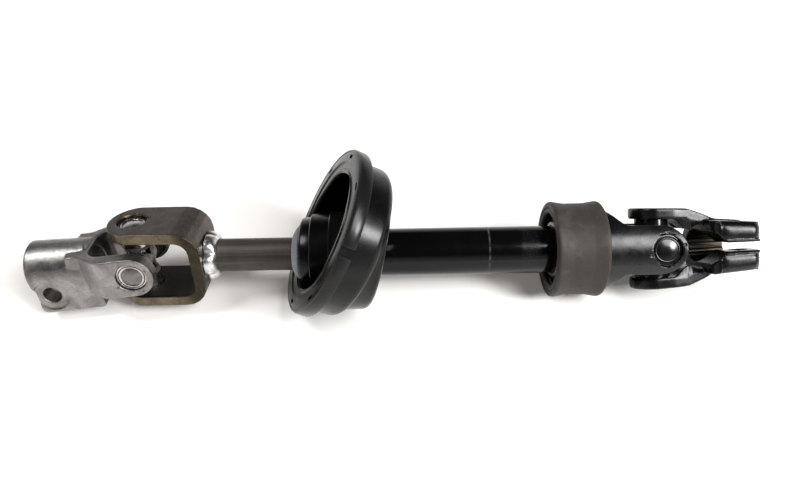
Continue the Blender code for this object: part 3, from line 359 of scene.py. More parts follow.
def shaded_bare_serration():
    """Unpainted, oily serrations inside the upper barrel, their dark colour partly painted shade of the bore."""
    f = Finish("shaded_bare_serration", 0.42, 1.0)
    lines = f.noise(1.0, 3.0, 0.6, 0.0, f.stretched((60.0, 900.0, 900.0)))
    f.colour(f.blend(f.remap(lines, 0.45, 0.70), (0.014, 0.012, 0.009), (0.070, 0.059, 0.048)))
    f.normal(f.bump(lines, 0.00005, 0.6))
    return f.material


def nylon():
    f = Finish("slide_nylon", 0.45, 0.0)
    f.colour(f.blend(f.noise(200.0, 4.0), (0.62, 0.59, 0.50), (0.50, 0.47, 0.38)))
    f.normal(f.bump(f.noise(1200.0, 2.0), 0.00002, 0.4))
    return f.material


# Mesh helpers


def new_piece(name, mesh, body, slot, *materials, replaced=()):
    """A piece that rides on a body and stands for CAD nodes."""
    obj = scene_object(name, mesh)
    for material in materials:
        mesh.materials.append(material)
    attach(obj, body)
    if replaced:
        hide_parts(*replaced)
    return obj


def shade(mesh, angle=38.0):
    mesh.shade_smooth()
    mesh.set_sharp_from_angle(angle=math.radians(angle))


def axis_frame(origin, axis):
    """A matrix with its origin at a point, its Z along an axis, and its X upwards or else along Y."""
    z = axis.normalized()
    towards = Vector((0.0, 0.0, 1.0))
    if abs(z.dot(towards)) > 0.95:
        towards = Vector((0.0, 1.0, 0.0))
    x = (towards - z * towards.dot(z)).normalized()
    y = z.cross(x)
    return Matrix.Translation(origin) @ Matrix((x, y, z)).transposed().to_4x4()


SHAFT_FRAME = axis_frame(AXIS_POINT, Vector((1.0, 0.0, 0.0)))


def arc(centre, radius, start, end, steps):
    """Points along an arc, with the angles in degrees."""
    angles = [math.radians(start + (end - start) * i / steps) for i in range(steps + 1)]
    return [(centre[0] + radius * math.cos(a), centre[1] + radius * math.sin(a)) for a in angles]


def eased(profile, radius, steps=3):
    """The profile with each corner that has room turned into a small curve."""
    points = []
    count = len(profile)
    for i, (x, y) in enumerate(profile):
        if x <= 0.0:
            points.append((x, y))
            continue
        before = Vector(profile[i - 1]) - Vector((x, y))
        after = Vector(profile[(i + 1) % count]) - Vector((x, y))
        cut = min(radius, 0.45 * before.length, 0.45 * after.length)
        p, q = Vector((x, y)) + before.normalized() * cut, Vector((x, y)) + after.normalized() * cut
        for k in range(steps + 1):
            t = k / steps
            mid = p * (1 - t) ** 2 + Vector((x, y)) * 2 * t * (1 - t) + q * t * t
            points.append((max(mid.x, 0.0), mid.y))
    return points


def swept_mesh(name, profile, section, segments, swell=None):
    """A closed shape from (radius, height) points. The section gives each point's place from its height."""
    bm = bmesh.new()
    rings = []
    for radius, height in profile:
        if radius <= 1e-9:
            rings.append([bm.verts.new(section(0.0, height, 0.0))] * segments)
            continue
        ring = []
        for i in range(segments):
            angle = 2 * math.pi * i / segments
            grown = radius + (swell(radius, height, angle) if swell else 0.0)
            ring.append(bm.verts.new(section(grown, height, angle)))
        rings.append(ring)
    closed = profile[0][0] > 1e-9
    pairs = zip(rings, rings[1:] + rings[:1]) if closed else zip(rings, rings[1:])
    for upper, lower in pairs:
        for i in range(segments):
            k = (i + 1) % segments
            corners = list(dict.fromkeys((upper[i], upper[k], lower[k], lower[i])))
            if len(corners) > 2:
                bm.faces.new(corners)
    bmesh.ops.recalc_face_normals(bm, faces=bm.faces)
    mesh = bpy.data.meshes.new(name)
    bm.to_mesh(mesh)
    bm.free()
    shade(mesh)
    return mesh


def turned_mesh(name, profile, place, segments=96, swell=None):
    def section(radius, height, angle):
        return place @ Vector((radius * math.cos(angle), radius * math.sin(angle), height))

    return swept_mesh(name, profile, section, segments, swell)


def cad_copy(node):
    """A copy of a CAD node's mesh with its doubled corners merged."""
    mesh = frame["nodes"][node].data.copy()
    bm = bmesh.new()
    bm.from_mesh(mesh)
    bmesh.ops.remove_doubles(bm, verts=bm.verts, dist=1e-6)
    bm.to_mesh(mesh)
    bm.free()
    mesh.materials.clear()
    return mesh


def evaluated(mesh, *modifiers):
    """The mesh after a list of (type, settings) modifiers."""
    obj = scene_object("working", mesh)
    for kind, settings in modifiers:
        modifier = obj.modifiers.new(kind, kind)
        for key, value in settings.items():
            setattr(modifier, key, value)
    graph = bpy.context.evaluated_depsgraph_get()
    made = bpy.data.meshes.new_from_object(obj.evaluated_get(graph))
    bpy.data.objects.remove(obj)
    return made


def weathered_copy(name, node, voxel, rounds, rough, scale):
    """A finer copy of a CAD solid: its edges rounded as on the real surface, and the skin slightly uneven."""
    remesh = ("REMESH", {"mode": "VOXEL", "voxel_size": voxel, "use_smooth_shade": True})
    smooth = ("SMOOTH", {"factor": 0.5, "iterations": rounds})
    mesh = evaluated(cad_copy(node), remesh, smooth)
    normals = [vert.normal.copy() for vert in mesh.vertices]
    for vert, normal in zip(mesh.vertices, normals):
        swing = noise.noise(vert.co * scale) + 0.5 * noise.noise(vert.co * scale * 2.7)
        vert.co += normal * rough * swing
    mesh.name = name
    mesh.shade_smooth()
    return mesh


def smoothed(mesh, chosen, rounds):
    """Rounds off the part of a mesh that a test picks."""
    bm = bmesh.new()
    bm.from_mesh(mesh)
    verts = [vert for vert in bm.verts if chosen(vert.co)]
    for _ in range(rounds):
        bmesh.ops.smooth_vert(bm, verts=verts, factor=0.5, use_axis_x=True, use_axis_y=True, use_axis_z=True)
    bm.to_mesh(mesh)
    bm.free()


def trued(mesh, place, radius_at, low, high, facets=36):
    """Lifts the flats of a turned stretch back onto its true radius."""
    back = place.inverted()
    flat = math.cos(math.pi / facets)
    for vert in mesh.vertices:
        point = back @ vert.co
        if low < point.z < high:
            radius = radius_at(point.z)
            away = math.hypot(point.x, point.y)
            if flat * radius - 0.10 * MM < away < radius + 0.05 * MM:
                share = radius / away
                vert.co = place @ Vector((point.x * share, point.y * share, point.z))


def pressed(mesh, point, radius, depth, direction):
    """Presses a small round dent into a mesh along a direction."""
    for vert in mesh.vertices:
        away = (vert.co - point).length
        if away < radius:
            vert.co += direction * depth * (1 - (away / radius) ** 2)


# Bearings

CUP_RADIUS = 8.0 * MM
CUP_END = 19.0 * MM
CUP_MOUTH = 9.2 * MM
CUP_BORE = 6.9 * MM
CUP_FLOOR = 17.6 * MM
CUP_RIM = 7.2 * MM
LIP_RADIUS = 5.7 * MM
DOME_RADIUS = 5.1 * MM
DOME_DROP = 0.16 * MM
LOWER_CROWN = 0.75 * MM
UPPER_CROWN = 0.65 * MM
GROOVE_INNER = 5.95 * MM
GROOVE_OUTER = 6.4 * MM


def cup_profile(crown):
    """A drawn cup, from a low dome outwards over a lip, a groove and a rim, then its wall and bore."""
    end, steps = CUP_END, 6
    shares = [step / steps for step in range(steps + 1)]
    return [
        *((DOME_RADIUS * share, end - DOME_DROP + crown * (1 - share ** 2)) for share in shares),
        (LIP_RADIUS - 0.35 * MM, end),
        (LIP_RADIUS, end + 0.08 * MM),
        (GROOVE_INNER, end),
        (GROOVE_INNER + 0.2 * MM, end - 0.6 * MM),
        (GROOVE_OUTER, end),
        (CUP_RIM, end + 0.05 * MM),
        (CUP_RIM + 0.3 * MM, end - 0.1 * MM),
        (CUP_RADIUS, end - 0.7 * MM),
        (CUP_RADIUS, CUP_MOUTH),
        (CUP_BORE, CUP_MOUTH),
        (CUP_BORE, CUP_FLOOR),
        (0.0, CUP_FLOOR),
    ]


def bearing_pair(prefix, body, centre, axis, crown, materials, slot):
    """Both cups of an ear pair. The materials are the dome's, the groove's and the rims'."""
    for end, side in (("a", 1), ("b", -1)):
        node = f"{prefix}_cup_{end}"
        low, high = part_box(node)
        towards = axis if ((low + high) / 2 - centre).dot(axis) > 0 else -axis
        place = axis_frame(centre, towards)
        mesh = turned_mesh(f"{node}_skin", cup_profile(crown), place, 64)
        obj = new_piece(f"{node}_skin", mesh, body, slot, *materials, replaced=[node])
        back = place.inverted()
        for polygon in obj.data.polygons:
            point = back @ polygon.center
            away = math.hypot(point.x, point.y)
            # The groove ring takes the second, darker material as painted shade; the rims outside it take the
            # third.
            if point.z > CUP_FLOOR and away > DOME_RADIUS:
                polygon.material_index = 1 if GROOVE_INNER < away < GROOVE_OUTER else 2


def seal_set(prefix, body, centre, axes, material):
    """Four lip seals, each with two ribs."""
    profile = [
        (5.3 * MM, 8.8 * MM),
        (7.2 * MM, 8.8 * MM),
        (7.45 * MM, 8.5 * MM),
        (7.1 * MM, 8.2 * MM),
        (7.3 * MM, 7.8 * MM),
        (6.9 * MM, 7.5 * MM),
        (6.9 * MM, 6.9 * MM),
        (5.3 * MM, 6.8 * MM),
    ]
    nodes = [f"{prefix}_seal_{end}" for end in "abcd"]
    lines = [axis * side for axis in axes for side in (1, -1)]
    for node in nodes:
        low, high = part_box(node)
        out = (low + high) / 2 - centre
        line = max(lines, key=lambda direction: direction.dot(out))
        mesh = turned_mesh(f"{node}_lip", profile, axis_frame(centre, line), 48)
        new_piece(f"{node}_lip", mesh, body, "seal_rubber", material, replaced=[node])


def cross_body(prefix, body, material):
    node = f"{prefix}_cross"
    mesh = weathered_copy(f"{node}_forging", node, 0.35 * MM, 3, 0.01 * MM, 300.0)
    new_piece(f"{node}_forging", mesh, body, "bearing_steel", material, replaced=[node])


# Lower end. The hub's stations run along its line from the lower centre

STAKE_CIRCLE = 8.3 * MM
STAKE_RADIUS = 1.0 * MM
STAKE_DEPTH = 0.55 * MM
HUB_RADIUS = 14.2 * MM
HUB_ROOT_RADIUS = 12.6 * MM
HUB_SPAN = (23.5 * MM, 52.2 * MM)
HUB_TRUED = (24.0 * MM, 52.0 * MM)
WELD_HEIGHT = 2.9 * MM
WELD_LENGTH = 5.3 * MM
WELD_LOBES = 6
SHAFT_RADIUS = 8.35 * MM
SPLINE_START = -38.6 * MM
SPLINE_RADIUS = 7.7 * MM
SPLINE_WAVE = 0.4 * MM
SPLINE_TEETH = 12


def stake_marks(mesh, centre, axis, face, count, phase):
    """Punch marks round both cups of an ear pair."""
    for side in (1, -1):
        place = axis_frame(centre, axis * side)
        for i in range(count):
            angle = phase + 2 * math.pi * i / count
            point = place @ Vector((STAKE_CIRCLE * math.cos(angle), STAKE_CIRCLE * math.sin(angle), face))
            pressed(mesh, point, STAKE_RADIUS, STAKE_DEPTH, -axis * side)


def clamp_yoke(material):
    """The forging, with its hub trued to a slight taper."""
    mesh = weathered_copy("clamp_forging", "lower_clamp_yoke", 0.40 * MM, 10, 0.04 * MM, 260.0)
    taper = (HUB_RADIUS - HUB_ROOT_RADIUS) / (HUB_SPAN[1] - HUB_SPAN[0])

    def hub_radius(height):
        return HUB_ROOT_RADIUS + taper * (height - HUB_SPAN[0])

    trued(mesh, axis_frame(LOWER_CENTRE, HUB_LINE), hub_radius, *HUB_TRUED)
    stake_marks(mesh, LOWER_CENTRE, CLAMP_EARS, 20.5 * MM, 4, 0.5)
    new_piece("clamp_forging", mesh, "lower_clamp_yoke", "forged_steel", material,
              replaced=["lower_clamp_yoke"])


def strap_yoke(face_material, edge_material, inside_shade_material):
    """The bent strip, with a material each for its faces, its sheared edges and its inside, where shade is
    painted.
    """
    mesh = weathered_copy("strap_strip", "strap_yoke", 0.36 * MM, 7, 0.03 * MM, 240.0)
    stake_marks(mesh, LOWER_CENTRE, STRAP_EARS, 20.9 * MM, 3, 0.9)
    obj = new_piece("strap_strip", mesh, "inner_shaft", "strap_steel", face_material, edge_material,
                    inside_shade_material, replaced=["strap_yoke"])
    width = STRAP_EARS.cross(Vector((1.0, 0.0, 0.0))).normalized()
    # Sheared edges take their own material; faces turned inwards take the strap's painted shade.
    sideways, inwards = 0.62, -0.2
    for polygon in obj.data.polygons:
        away = polygon.center - LOWER_CENTRE
        away -= width * away.dot(width)
        if abs(polygon.normal.dot(width)) > sideways:
            polygon.material_index = 1
        elif polygon.normal.dot(away.normalized()) < inwards:
            polygon.material_index = 2


def weld_bead(material):
    """A lumpy ring of weld: overlapping beads of uneven size round the bar."""
    inner = SHAFT_RADIUS + 0.1 * MM
    section = [(inner, WELD_START)]
    steps = 12
    for k in range(steps + 1):
        turn = math.pi / 2 * k / steps
        section.append((inner + WELD_HEIGHT * math.cos(turn), WELD_START + WELD_LENGTH * math.sin(turn)))
    picks = random.Random(5)
    sizes = [0.80 + 0.35 * picks.random() for _ in range(WELD_LOBES)]
    places = [2 * math.pi * (i + 0.5 * picks.random()) / WELD_LOBES for i in range(WELD_LOBES)]

    def swell(radius, along, angle):
        share = max(0.0, (radius - inner) / WELD_HEIGHT)
        lump = 0.0
        for size, at in zip(sizes, places):
            away = math.atan2(math.sin(angle - at), math.cos(angle - at))
            lump = max(lump, size * math.exp(-((away / 0.55) ** 4)))
        return share * WELD_HEIGHT * (0.75 * lump - 0.45)

    mesh = turned_mesh("weld_ring", section, SHAFT_FRAME, 144, swell)
    mesh.shade_smooth()
    new_piece("weld_ring", mesh, "inner_shaft", "weld_metal", material, replaced=["weld_bead"])


def inner_shaft(material):
    """The bar, its lead chamfers and its rolled splines."""
    low, high = SHAFT_LOW.x, SHAFT_HIGH.x
    chamfer = 0.8 * MM
    steps = 10
    profile = [
        (0.0, high),
        (SPLINE_RADIUS, high),
        *((SPLINE_RADIUS, SPLINE_START + (high - SPLINE_START) * k / steps) for k in reversed(range(steps))),
        (SHAFT_RADIUS - chamfer, SPLINE_START - 0.02 * MM),
        (SHAFT_RADIUS, SPLINE_START - chamfer),
        (SHAFT_RADIUS, low + chamfer),
        (SHAFT_RADIUS - chamfer, low),
        (0.0, low),
    ]

    def swell(radius, along, angle):
        if along < SPLINE_START:
            return 0.0
        return SPLINE_WAVE * math.cos(SPLINE_TEETH * angle)

    mesh = turned_mesh("shaft_bar", profile, SHAFT_FRAME, 144, swell)
    new_piece("shaft_bar", mesh, "inner_shaft", "shaft_steel", material, replaced=["inner_shaft"])


# Upper end. The stations of the stamping run along its barrel's line from the upper centre

SCRATCH_AT = 50.0 * MM
DULL_AT = 70.5 * MM
DULL_HALF = 5.5 * MM
SKIRT_RADIUS = 20.8 * MM
BARREL_BORE = 8.5 * MM
BARREL_START = 19.0 * MM
NECK_BULGE = 4.6 * MM
NECK_SPAN = (6.5 * MM, 21.0 * MM)
NECK_OUT = 9.0 * MM
EAR_OUT = 11.0 * MM
EAR_END = 14.0 * MM
EAR_FLAT = 9.6 * MM
EAR_ROUNDS = 25
LUG_START = 22.0 * MM
LUG_FREE = 25.0 * MM
LUG_CLEAR = 11.5 * MM
LUG_INNER = 3.5 * MM
LUG_MIDDLE = 7.65 * MM
LUG_LAYER = 5.5 * MM
LUG_CROWN = 2.4 * MM
LUG_REACH = 21.5 * MM
LUG_SKIN = 2.2 * MM
LUG_ROUGH = 43.0 * MM
LUG_END = 44.5 * MM
LUG_CORNERS = (6.2 * MM, 4.0 * MM)
LUG_ROUNDS = 20
LUG_TAPER = 0.12


def outer_tube(material):
    low, high = TUBE_LOW.x, TUBE_HIGH.x
    edge = 0.5 * MM
    bore = 9.5 * MM
    profile = [
        (TUBE_RADIUS - edge, high),
        (TUBE_RADIUS, high - edge),
        (TUBE_RADIUS, low + edge),
        (TUBE_RADIUS - edge, low),
        (bore, low),
        (bore, high),
    ]
    mesh = turned_mesh("tube_skin", profile, SHAFT_FRAME, 128)
    new_piece("tube_skin", mesh, "tube", "gloss_black_paint", material, replaced=["outer_tube"])


def isolator_ring(material):
    """The waisted ring, with two nested lips and a groove in its open end."""
    start, end = RING_LOW.x, RING_HIGH.x
    bead = (RING_HIGH.z - RING_LOW.z) / 2
    waist = bead - 1.0 * MM
    skirt = SKIRT_RADIUS + 0.3 * MM
    lip = 18.3 * MM
    body = [
        (bead - 1.2 * MM, end),
        (bead - 0.25 * MM, end - 0.5 * MM),
        (bead, end - 1.4 * MM),
        (bead - 0.25 * MM, end - 3.0 * MM),
        (waist, end - 7.5 * MM),
        (waist, start + 7.5 * MM),
        (bead - 0.25 * MM, start + 3.0 * MM),
        (bead, start + 1.4 * MM),
        (bead - 0.25 * MM, start + 0.5 * MM),
        (bead - 1.2 * MM, start),
    ]
    face = [
        (lip + 3.1 * MM, start),
        (lip + 2.8 * MM, start + 0.5 * MM),
        (lip + 2.3 * MM, start + 0.5 * MM),
        (lip + 2.0 * MM, start + 0.05 * MM),
        (lip + 0.9 * MM, start + 0.05 * MM),
        (lip, start + 0.9 * MM),
        (lip, start + 2.8 * MM),
        (skirt, start + 2.8 * MM),
        (skirt, end),
    ]
    mesh = turned_mesh("ring_moulding", eased(body + face, 0.5 * MM), SHAFT_FRAME, 144)
    new_piece("ring_moulding", mesh, "tube", "ring_rubber", material, replaced=["isolator_ring"])


def inner_bush(material, steel):
    """The dished bush and the sleeve that show inside the ring's open end."""
    low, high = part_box("isolator_bush")
    outer = (high.z - low.z) / 2
    sleeve_low, sleeve_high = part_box("bush_sleeve")
    sleeve = (sleeve_high.z - sleeve_low.z) / 2
    inner = sleeve + 0.3 * MM
    middle = (inner + outer) / 2
    dish = 2.2 * MM
    profile = [
        (inner, high.x),
        (middle, high.x - dish),
        (outer, high.x),
        (outer, low.x + 0.4 * MM),
        (outer - 0.5 * MM, low.x),
        (outer - 1.1 * MM, low.x + 0.9 * MM),
        (middle, low.x + dish),
        (inner + 1.0 * MM, low.x + 1.0 * MM),
        (inner + 0.4 * MM, low.x),
        (inner, low.x + 0.3 * MM),
    ]
    mesh = turned_mesh("bush_moulding", eased(profile, 0.3 * MM), SHAFT_FRAME, 96)
    new_piece("bush_moulding", mesh, "tube", "ring_rubber", material, replaced=["isolator_bush"])
    wall = [
        (sleeve, sleeve_high.x),
        (sleeve, sleeve_low.x + 0.4 * MM),
        (sleeve - 0.4 * MM, sleeve_low.x),
        (TUBE_RADIUS + 0.3 * MM, sleeve_low.x),
        (TUBE_RADIUS + 0.3 * MM, sleeve_high.x),
    ]
    mesh = turned_mesh("sleeve_ring", wall, SHAFT_FRAME, 96)
    new_piece("sleeve_ring", mesh, "tube", "bearing_steel", steel, replaced=["bush_sleeve"])


def tube_yoke(material):
    mesh = weathered_copy("tube_fork", "tube_yoke", 0.38 * MM, 5, 0.015 * MM, 200.0)
    start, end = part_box("tube_yoke")
    trued(mesh, SHAFT_FRAME, lambda height: SKIRT_RADIUS, start.x, end.x + 1.0 * MM)
    stake_marks(mesh, UPPER_CENTRE, TUBE_EARS, 20.2 * MM, 4, 0.3)
    new_piece("tube_fork", mesh, "tube", "satin_black_paint", material, replaced=["tube_yoke"])


def lug_reach(along):
    """How far a lug's closed side stands out, which falls off at its two rounded corners."""
    mouth, tip = LUG_CORNERS
    reach = LUG_REACH
    for radius, past in ((mouth, LUG_START + mouth - along), (tip, along - LUG_END + tip)):
        past = min(max(past, 0.0), radius)
        reach -= radius - math.sqrt(radius ** 2 - past ** 2)
    return reach


def close_lugs(mesh, line):
    """Fills the fold in the closed side of each lug, and rounds the lugs off."""

    def in_lug(point):
        away = point - UPPER_CENTRE
        along, out = away.dot(line), away.dot(END_EARS)
        return along > LUG_FREE and (away - line * along).length > LUG_CLEAR and abs(out) > LUG_INNER

    wide = line.cross(END_EARS).normalized()
    lug_points = [vert.co - UPPER_CENTRE for vert in mesh.vertices if in_lug(vert.co)]
    if sum(point.dot(wide) for point in lug_points) < 0:
        wide = -wide
    normals = [vert.normal.copy() for vert in mesh.vertices]
    for vert, normal in zip(mesh.vertices, normals):
        away = vert.co - UPPER_CENTRE
        across, reach = away.dot(wide), lug_reach(away.dot(line))
        if reach - LUG_SKIN < across and in_lug(vert.co) and normal.dot(wide) > 0.2:
            share = min(1.0, abs(abs(away.dot(END_EARS)) - LUG_MIDDLE) / LUG_LAYER)
            vert.co += wide * (reach - LUG_CROWN * share ** 3 - across)
    smoothed(mesh, in_lug, LUG_ROUNDS)


def round_ears(mesh, line):
    """Rounds the rims of both ears, outside the flat that holds the cup."""

    def in_rim(point):
        away = point - UPPER_CENTRE
        out = away.dot(END_EARS)
        radial = (away - END_EARS * out).length
        return abs(out) > EAR_OUT and away.dot(line) < EAR_END and radial > EAR_FLAT

    smoothed(mesh, in_rim, EAR_ROUNDS)


def draw_in_necks(mesh, line):
    """Draws in the necks behind the ears, and lets the lugs taper to rough ends."""
    normals = [vert.normal.copy() for vert in mesh.vertices]
    for vert, normal in zip(mesh.vertices, normals):
        away = vert.co - UPPER_CENTRE
        along, out = away.dot(line), away.dot(END_EARS)
        side = 1.0 if out > 0 else -1.0
        share = (along - NECK_SPAN[0]) / (NECK_SPAN[1] - NECK_SPAN[0])
        if 0.0 < share < 1.0 and abs(out) > NECK_OUT and normal.dot(END_EARS) * side < -0.3:
            vert.co -= END_EARS * side * NECK_BULGE * math.sin(math.pi * share) ** 2
        if along > LUG_START:
            vert.co -= END_EARS * out * LUG_TAPER * (along - LUG_START) / LUG_START
            rough = noise.noise(vert.co * 900.0) * max(0.0, along - LUG_ROUGH)
            vert.co += line * 0.35 * rough


def end_yoke(paint, bare):
    """The stamping, painted but for the inside of its barrel."""
    mesh = weathered_copy("end_stamping", "upper_end_yoke", 0.34 * MM, 14, 0.02 * MM, 200.0)
    line = BARREL_LINE if BARREL_LINE.x > 0 else -BARREL_LINE
    close_lugs(mesh, line)
    round_ears(mesh, line)
    draw_in_necks(mesh, line)
    stake_marks(mesh, UPPER_CENTRE, END_EARS, 20.8 * MM, 4, 0.4)
    obj = new_piece("end_stamping", mesh, "upper_end_yoke", "satin_black_paint", paint, bare,
                    replaced=["upper_end_yoke"])
    for polygon in obj.data.polygons:
        away = polygon.center - UPPER_CENTRE
        along = away.dot(line)
        radial = away - line * along
        # The barrel's inner faces take the bare steel, darkened as painted shade.
        inside = radial.length < BARREL_BORE + 0.25 * MM and along > BARREL_START
        polygon.material_index = int(inside and polygon.normal.dot(radial) < 0)


# Boot

BOOT_CENTRE_Y = 0.0
BOOT_FACE = Vector(MOUNTS["boot_flange_face"]["axis"]).normalized()
BOOT_TILT = math.asin(BOOT_FACE.z)
FLANGE_RADIUS = 41.8 * MM
FLANGE_WIDTH = 6.4 * MM
TIER1_RADIUS = 37.8 * MM
TIER1_LENGTH = 13.6 * MM
TIER2_RADIUS = 33.8 * MM
TIER2_LENGTH = 9.1 * MM
BACK_RADIUS = 32.2 * MM
BACK_TILT = math.radians(15.0)
BOOT_WALL = 3.6 * MM
OPENING_RADIUS = 29.5 * MM
FACE_CENTRE = Vector((-32.246 * MM, BOOT_CENTRE_Y, 45.9 * MM))
BACK_CENTRE = Vector((-5.946 * MM, BOOT_CENTRE_Y, 33.9 * MM))
SLOT_COUNT = 8
SLOT_PHASE = math.radians(-8.0)
SLOT_RADIUS = 37.9 * MM
SLOT_SIZE = (1.8 * MM, 4.2 * MM, 5.0 * MM)
NOTCH_AT = 7
NOTCH_SIZE = (3.6 * MM, 4.6 * MM, 20.0 * MM)
NOSE = -44.046 * MM
STEP1 = -38.646 * MM
STEP2 = -29.246 * MM
NECK_END = -6.646 * MM
STEP_RADII = (18.5 * MM, 20.3 * MM, 21.2 * MM)
NECK_RADIUS = 15.2 * MM
BORE_END = 60.0 * MM


def boot_section(height):
    """Where a section of the cup is centred and how far it leans. Height 0 is its front face."""
    shelf = FLANGE_WIDTH + TIER1_LENGTH
    back_line = Vector((math.cos(BOOT_TILT), 0.0, -math.sin(BOOT_TILT)))
    centre = FACE_CENTRE + back_line * min(-height, shelf)
    share = max(0.0, (-height - shelf) / TIER2_LENGTH)
    centre = centre.lerp(BACK_CENTRE, share)
    return centre, BOOT_TILT + share * (BACK_TILT - BOOT_TILT)


def boot_place(radius, height, angle):
    centre, tilt = boot_section(height)
    up, side = radius * math.cos(angle), radius * math.sin(angle)
    return centre + Vector((up * math.sin(tilt), side, up * math.cos(tilt)))


def boot_profile():
    """The flange with its face grooves, both tiers, the back wall and the cavity."""
    shelf, floor = -(FLANGE_WIDTH + TIER1_LENGTH), -(FLANGE_WIDTH + TIER1_LENGTH + TIER2_LENGTH)
    wall, shoulder, bend = BOOT_WALL, 4.0 * MM, 3.0 * MM
    face = [
        (OPENING_RADIUS + 1.2 * MM, -3.0 * MM),
        (OPENING_RADIUS + 0.3 * MM, -2.2 * MM),
        (OPENING_RADIUS, -1.4 * MM),
        (OPENING_RADIUS + 0.2 * MM, -0.5 * MM),
        (OPENING_RADIUS + 0.9 * MM, 0.0),
        (OPENING_RADIUS + 1.7 * MM, 0.0),
        (OPENING_RADIUS + 2.3 * MM, -0.55 * MM),
        (OPENING_RADIUS + 5.2 * MM, -0.60 * MM),
        (OPENING_RADIUS + 6.0 * MM, 0.0),
        (FLANGE_RADIUS - 2.2 * MM, 0.0),
        (FLANGE_RADIUS - 1.5 * MM, -0.35 * MM),
        (FLANGE_RADIUS - 1.0 * MM, -0.05 * MM),
        (FLANGE_RADIUS - 0.35 * MM, -0.45 * MM),
        (FLANGE_RADIUS, -1.3 * MM),
    ]
    return [
        (0.0, floor + wall),
        (BACK_RADIUS - wall - 1.2 * MM, floor + wall),
        (TIER2_RADIUS - wall, shelf),
        (TIER1_RADIUS - wall, shelf + wall),
        (TIER1_RADIUS - wall, -3.0 * MM),
        *face,
        (FLANGE_RADIUS, -FLANGE_WIDTH + 0.8 * MM),
        (FLANGE_RADIUS - 0.2 * MM, -FLANGE_WIDTH + 0.25 * MM),
        (FLANGE_RADIUS - 0.8 * MM, -FLANGE_WIDTH),
        (TIER1_RADIUS + 0.5 * MM, -FLANGE_WIDTH),
        (TIER1_RADIUS, -FLANGE_WIDTH - 0.5 * MM),
        *arc((TIER1_RADIUS - shoulder, shelf + shoulder), shoulder, 0.0, -80.0, 8),
        (TIER2_RADIUS + 0.25 * MM, shelf - 0.2 * MM),
        (TIER2_RADIUS, shelf - 0.8 * MM),
        *arc((BACK_RADIUS - bend, floor + bend), bend, 0.0, -90.0, 7),
        (0.0, floor),
    ]


def sleeve_profile():
    """The stepped sleeve with the bores for the wiper, the bush and the tube."""
    first, second, third = STEP_RADII
    rim = 0.45 * MM
    bush_low, bush_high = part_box("boot_bush")
    bush = (bush_high.z - bush_low.z) / 2 + 0.3 * MM
    wiper = (WIPER_HIGH.z - WIPER_LOW.z) / 2 + 0.3 * MM
    tube = TUBE_RADIUS + 0.3 * MM
    return [
        (tube, NECK_END),
        (NECK_RADIUS, NECK_END),
        (NECK_RADIUS, -14.0 * MM),
        (third, -16.0 * MM),
        (third, STEP2 + 2 * rim),
        (third + 0.1 * MM, STEP2 + rim),
        (third - rim, STEP2),
        (second, STEP2 - 0.05 * MM),
        (second, STEP1 + 2 * rim),
        (second + 0.1 * MM, STEP1 + rim),
        (second - rim, STEP1),
        (first, STEP1 - 0.05 * MM),
        (first, NOSE + 1.6 * MM),
        (first - 0.5 * MM, NOSE + 0.6 * MM),
        (first - 1.6 * MM, NOSE),
        (wiper, NOSE + 0.2 * MM),
        (wiper, WIPER_HIGH.x + 0.2 * MM),
        (bush, WIPER_HIGH.x + 0.25 * MM),
        (bush, bush_high.x + 0.3 * MM),
        (tube, bush_high.x + 0.35 * MM),
    ]


def slot_place(index):
    """Where a unit cube cuts one slot of the flange, or the notch through its rim."""
    centre, tilt = boot_section(0.0)
    size, radius = (NOTCH_SIZE, FLANGE_RADIUS) if index == NOTCH_AT else (SLOT_SIZE, SLOT_RADIUS)
    angle = SLOT_PHASE + 2 * math.pi * index / SLOT_COUNT
    place = Matrix.Translation(centre) @ Matrix.Rotation(tilt - math.pi / 2, 4, "Y")
    place = place @ Matrix.Rotation(angle, 4, "Z")
    place = place @ Matrix.Translation((radius, 0.0, 0.0))
    return place @ Matrix.Diagonal((*size, 1.0))


def boot(rubber_material):
    """Cup and sleeve in one moulding, with slots round the flange and one notch through its rim."""

    def swell(radius, height, angle):
        if height > -3.2 * MM and radius < OPENING_RADIUS + 1.3 * MM:
            return 0.55 * MM * math.sin(3 * angle + 0.6) + 0.35 * MM * math.sin(7 * angle)
        return 0.0

    cup = swept_mesh("boot_moulding", boot_profile(), boot_place, 160, swell)
    body = scene_object("boot_moulding", cup)
    cutters = []

    def add(mesh, operation):
        other = scene_object(mesh.name, mesh)
        boolean = body.modifiers.new(mesh.name, "BOOLEAN")
        boolean.operation = operation
        boolean.object = other
        cutters.append(other)

    add(turned_mesh("sleeve_part", sleeve_profile(), SHAFT_FRAME, 112), "UNION")
    tube_bore = (TUBE_RADIUS + 0.3 * MM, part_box("boot_bush")[1].x + 1.0 * MM, BORE_END)
    shaft_bore = (SHAFT_RADIUS + 0.25 * MM, -BORE_END, NOSE + 1.0 * MM)
    for name, (radius, low, high) in (("tube_bore", tube_bore), ("shaft_bore", shaft_bore)):
        rod = [(0.0, high), (radius, high), (radius, low), (0.0, low)]
        add(turned_mesh(name, rod, SHAFT_FRAME, 96), "DIFFERENCE")
    for i in range(SLOT_COUNT):
        mesh = bpy.data.meshes.new(f"slot_part_{i}")
        bm = bmesh.new()
        bmesh.ops.create_cube(bm, size=1.0, matrix=slot_place(i))
        bm.to_mesh(mesh)
        bm.free()
        add(mesh, "DIFFERENCE")
    graph = bpy.context.evaluated_depsgraph_get()
    made = bpy.data.meshes.new_from_object(body.evaluated_get(graph))
    for obj in [body, *cutters]:
        bpy.data.objects.remove(obj)
    made.name = "boot_moulding"
    made.materials.clear()
    shade(made, 32.0)
    new_piece("boot_moulding", made, "boot", "boot_rubber", rubber_material, replaced=["boot"])


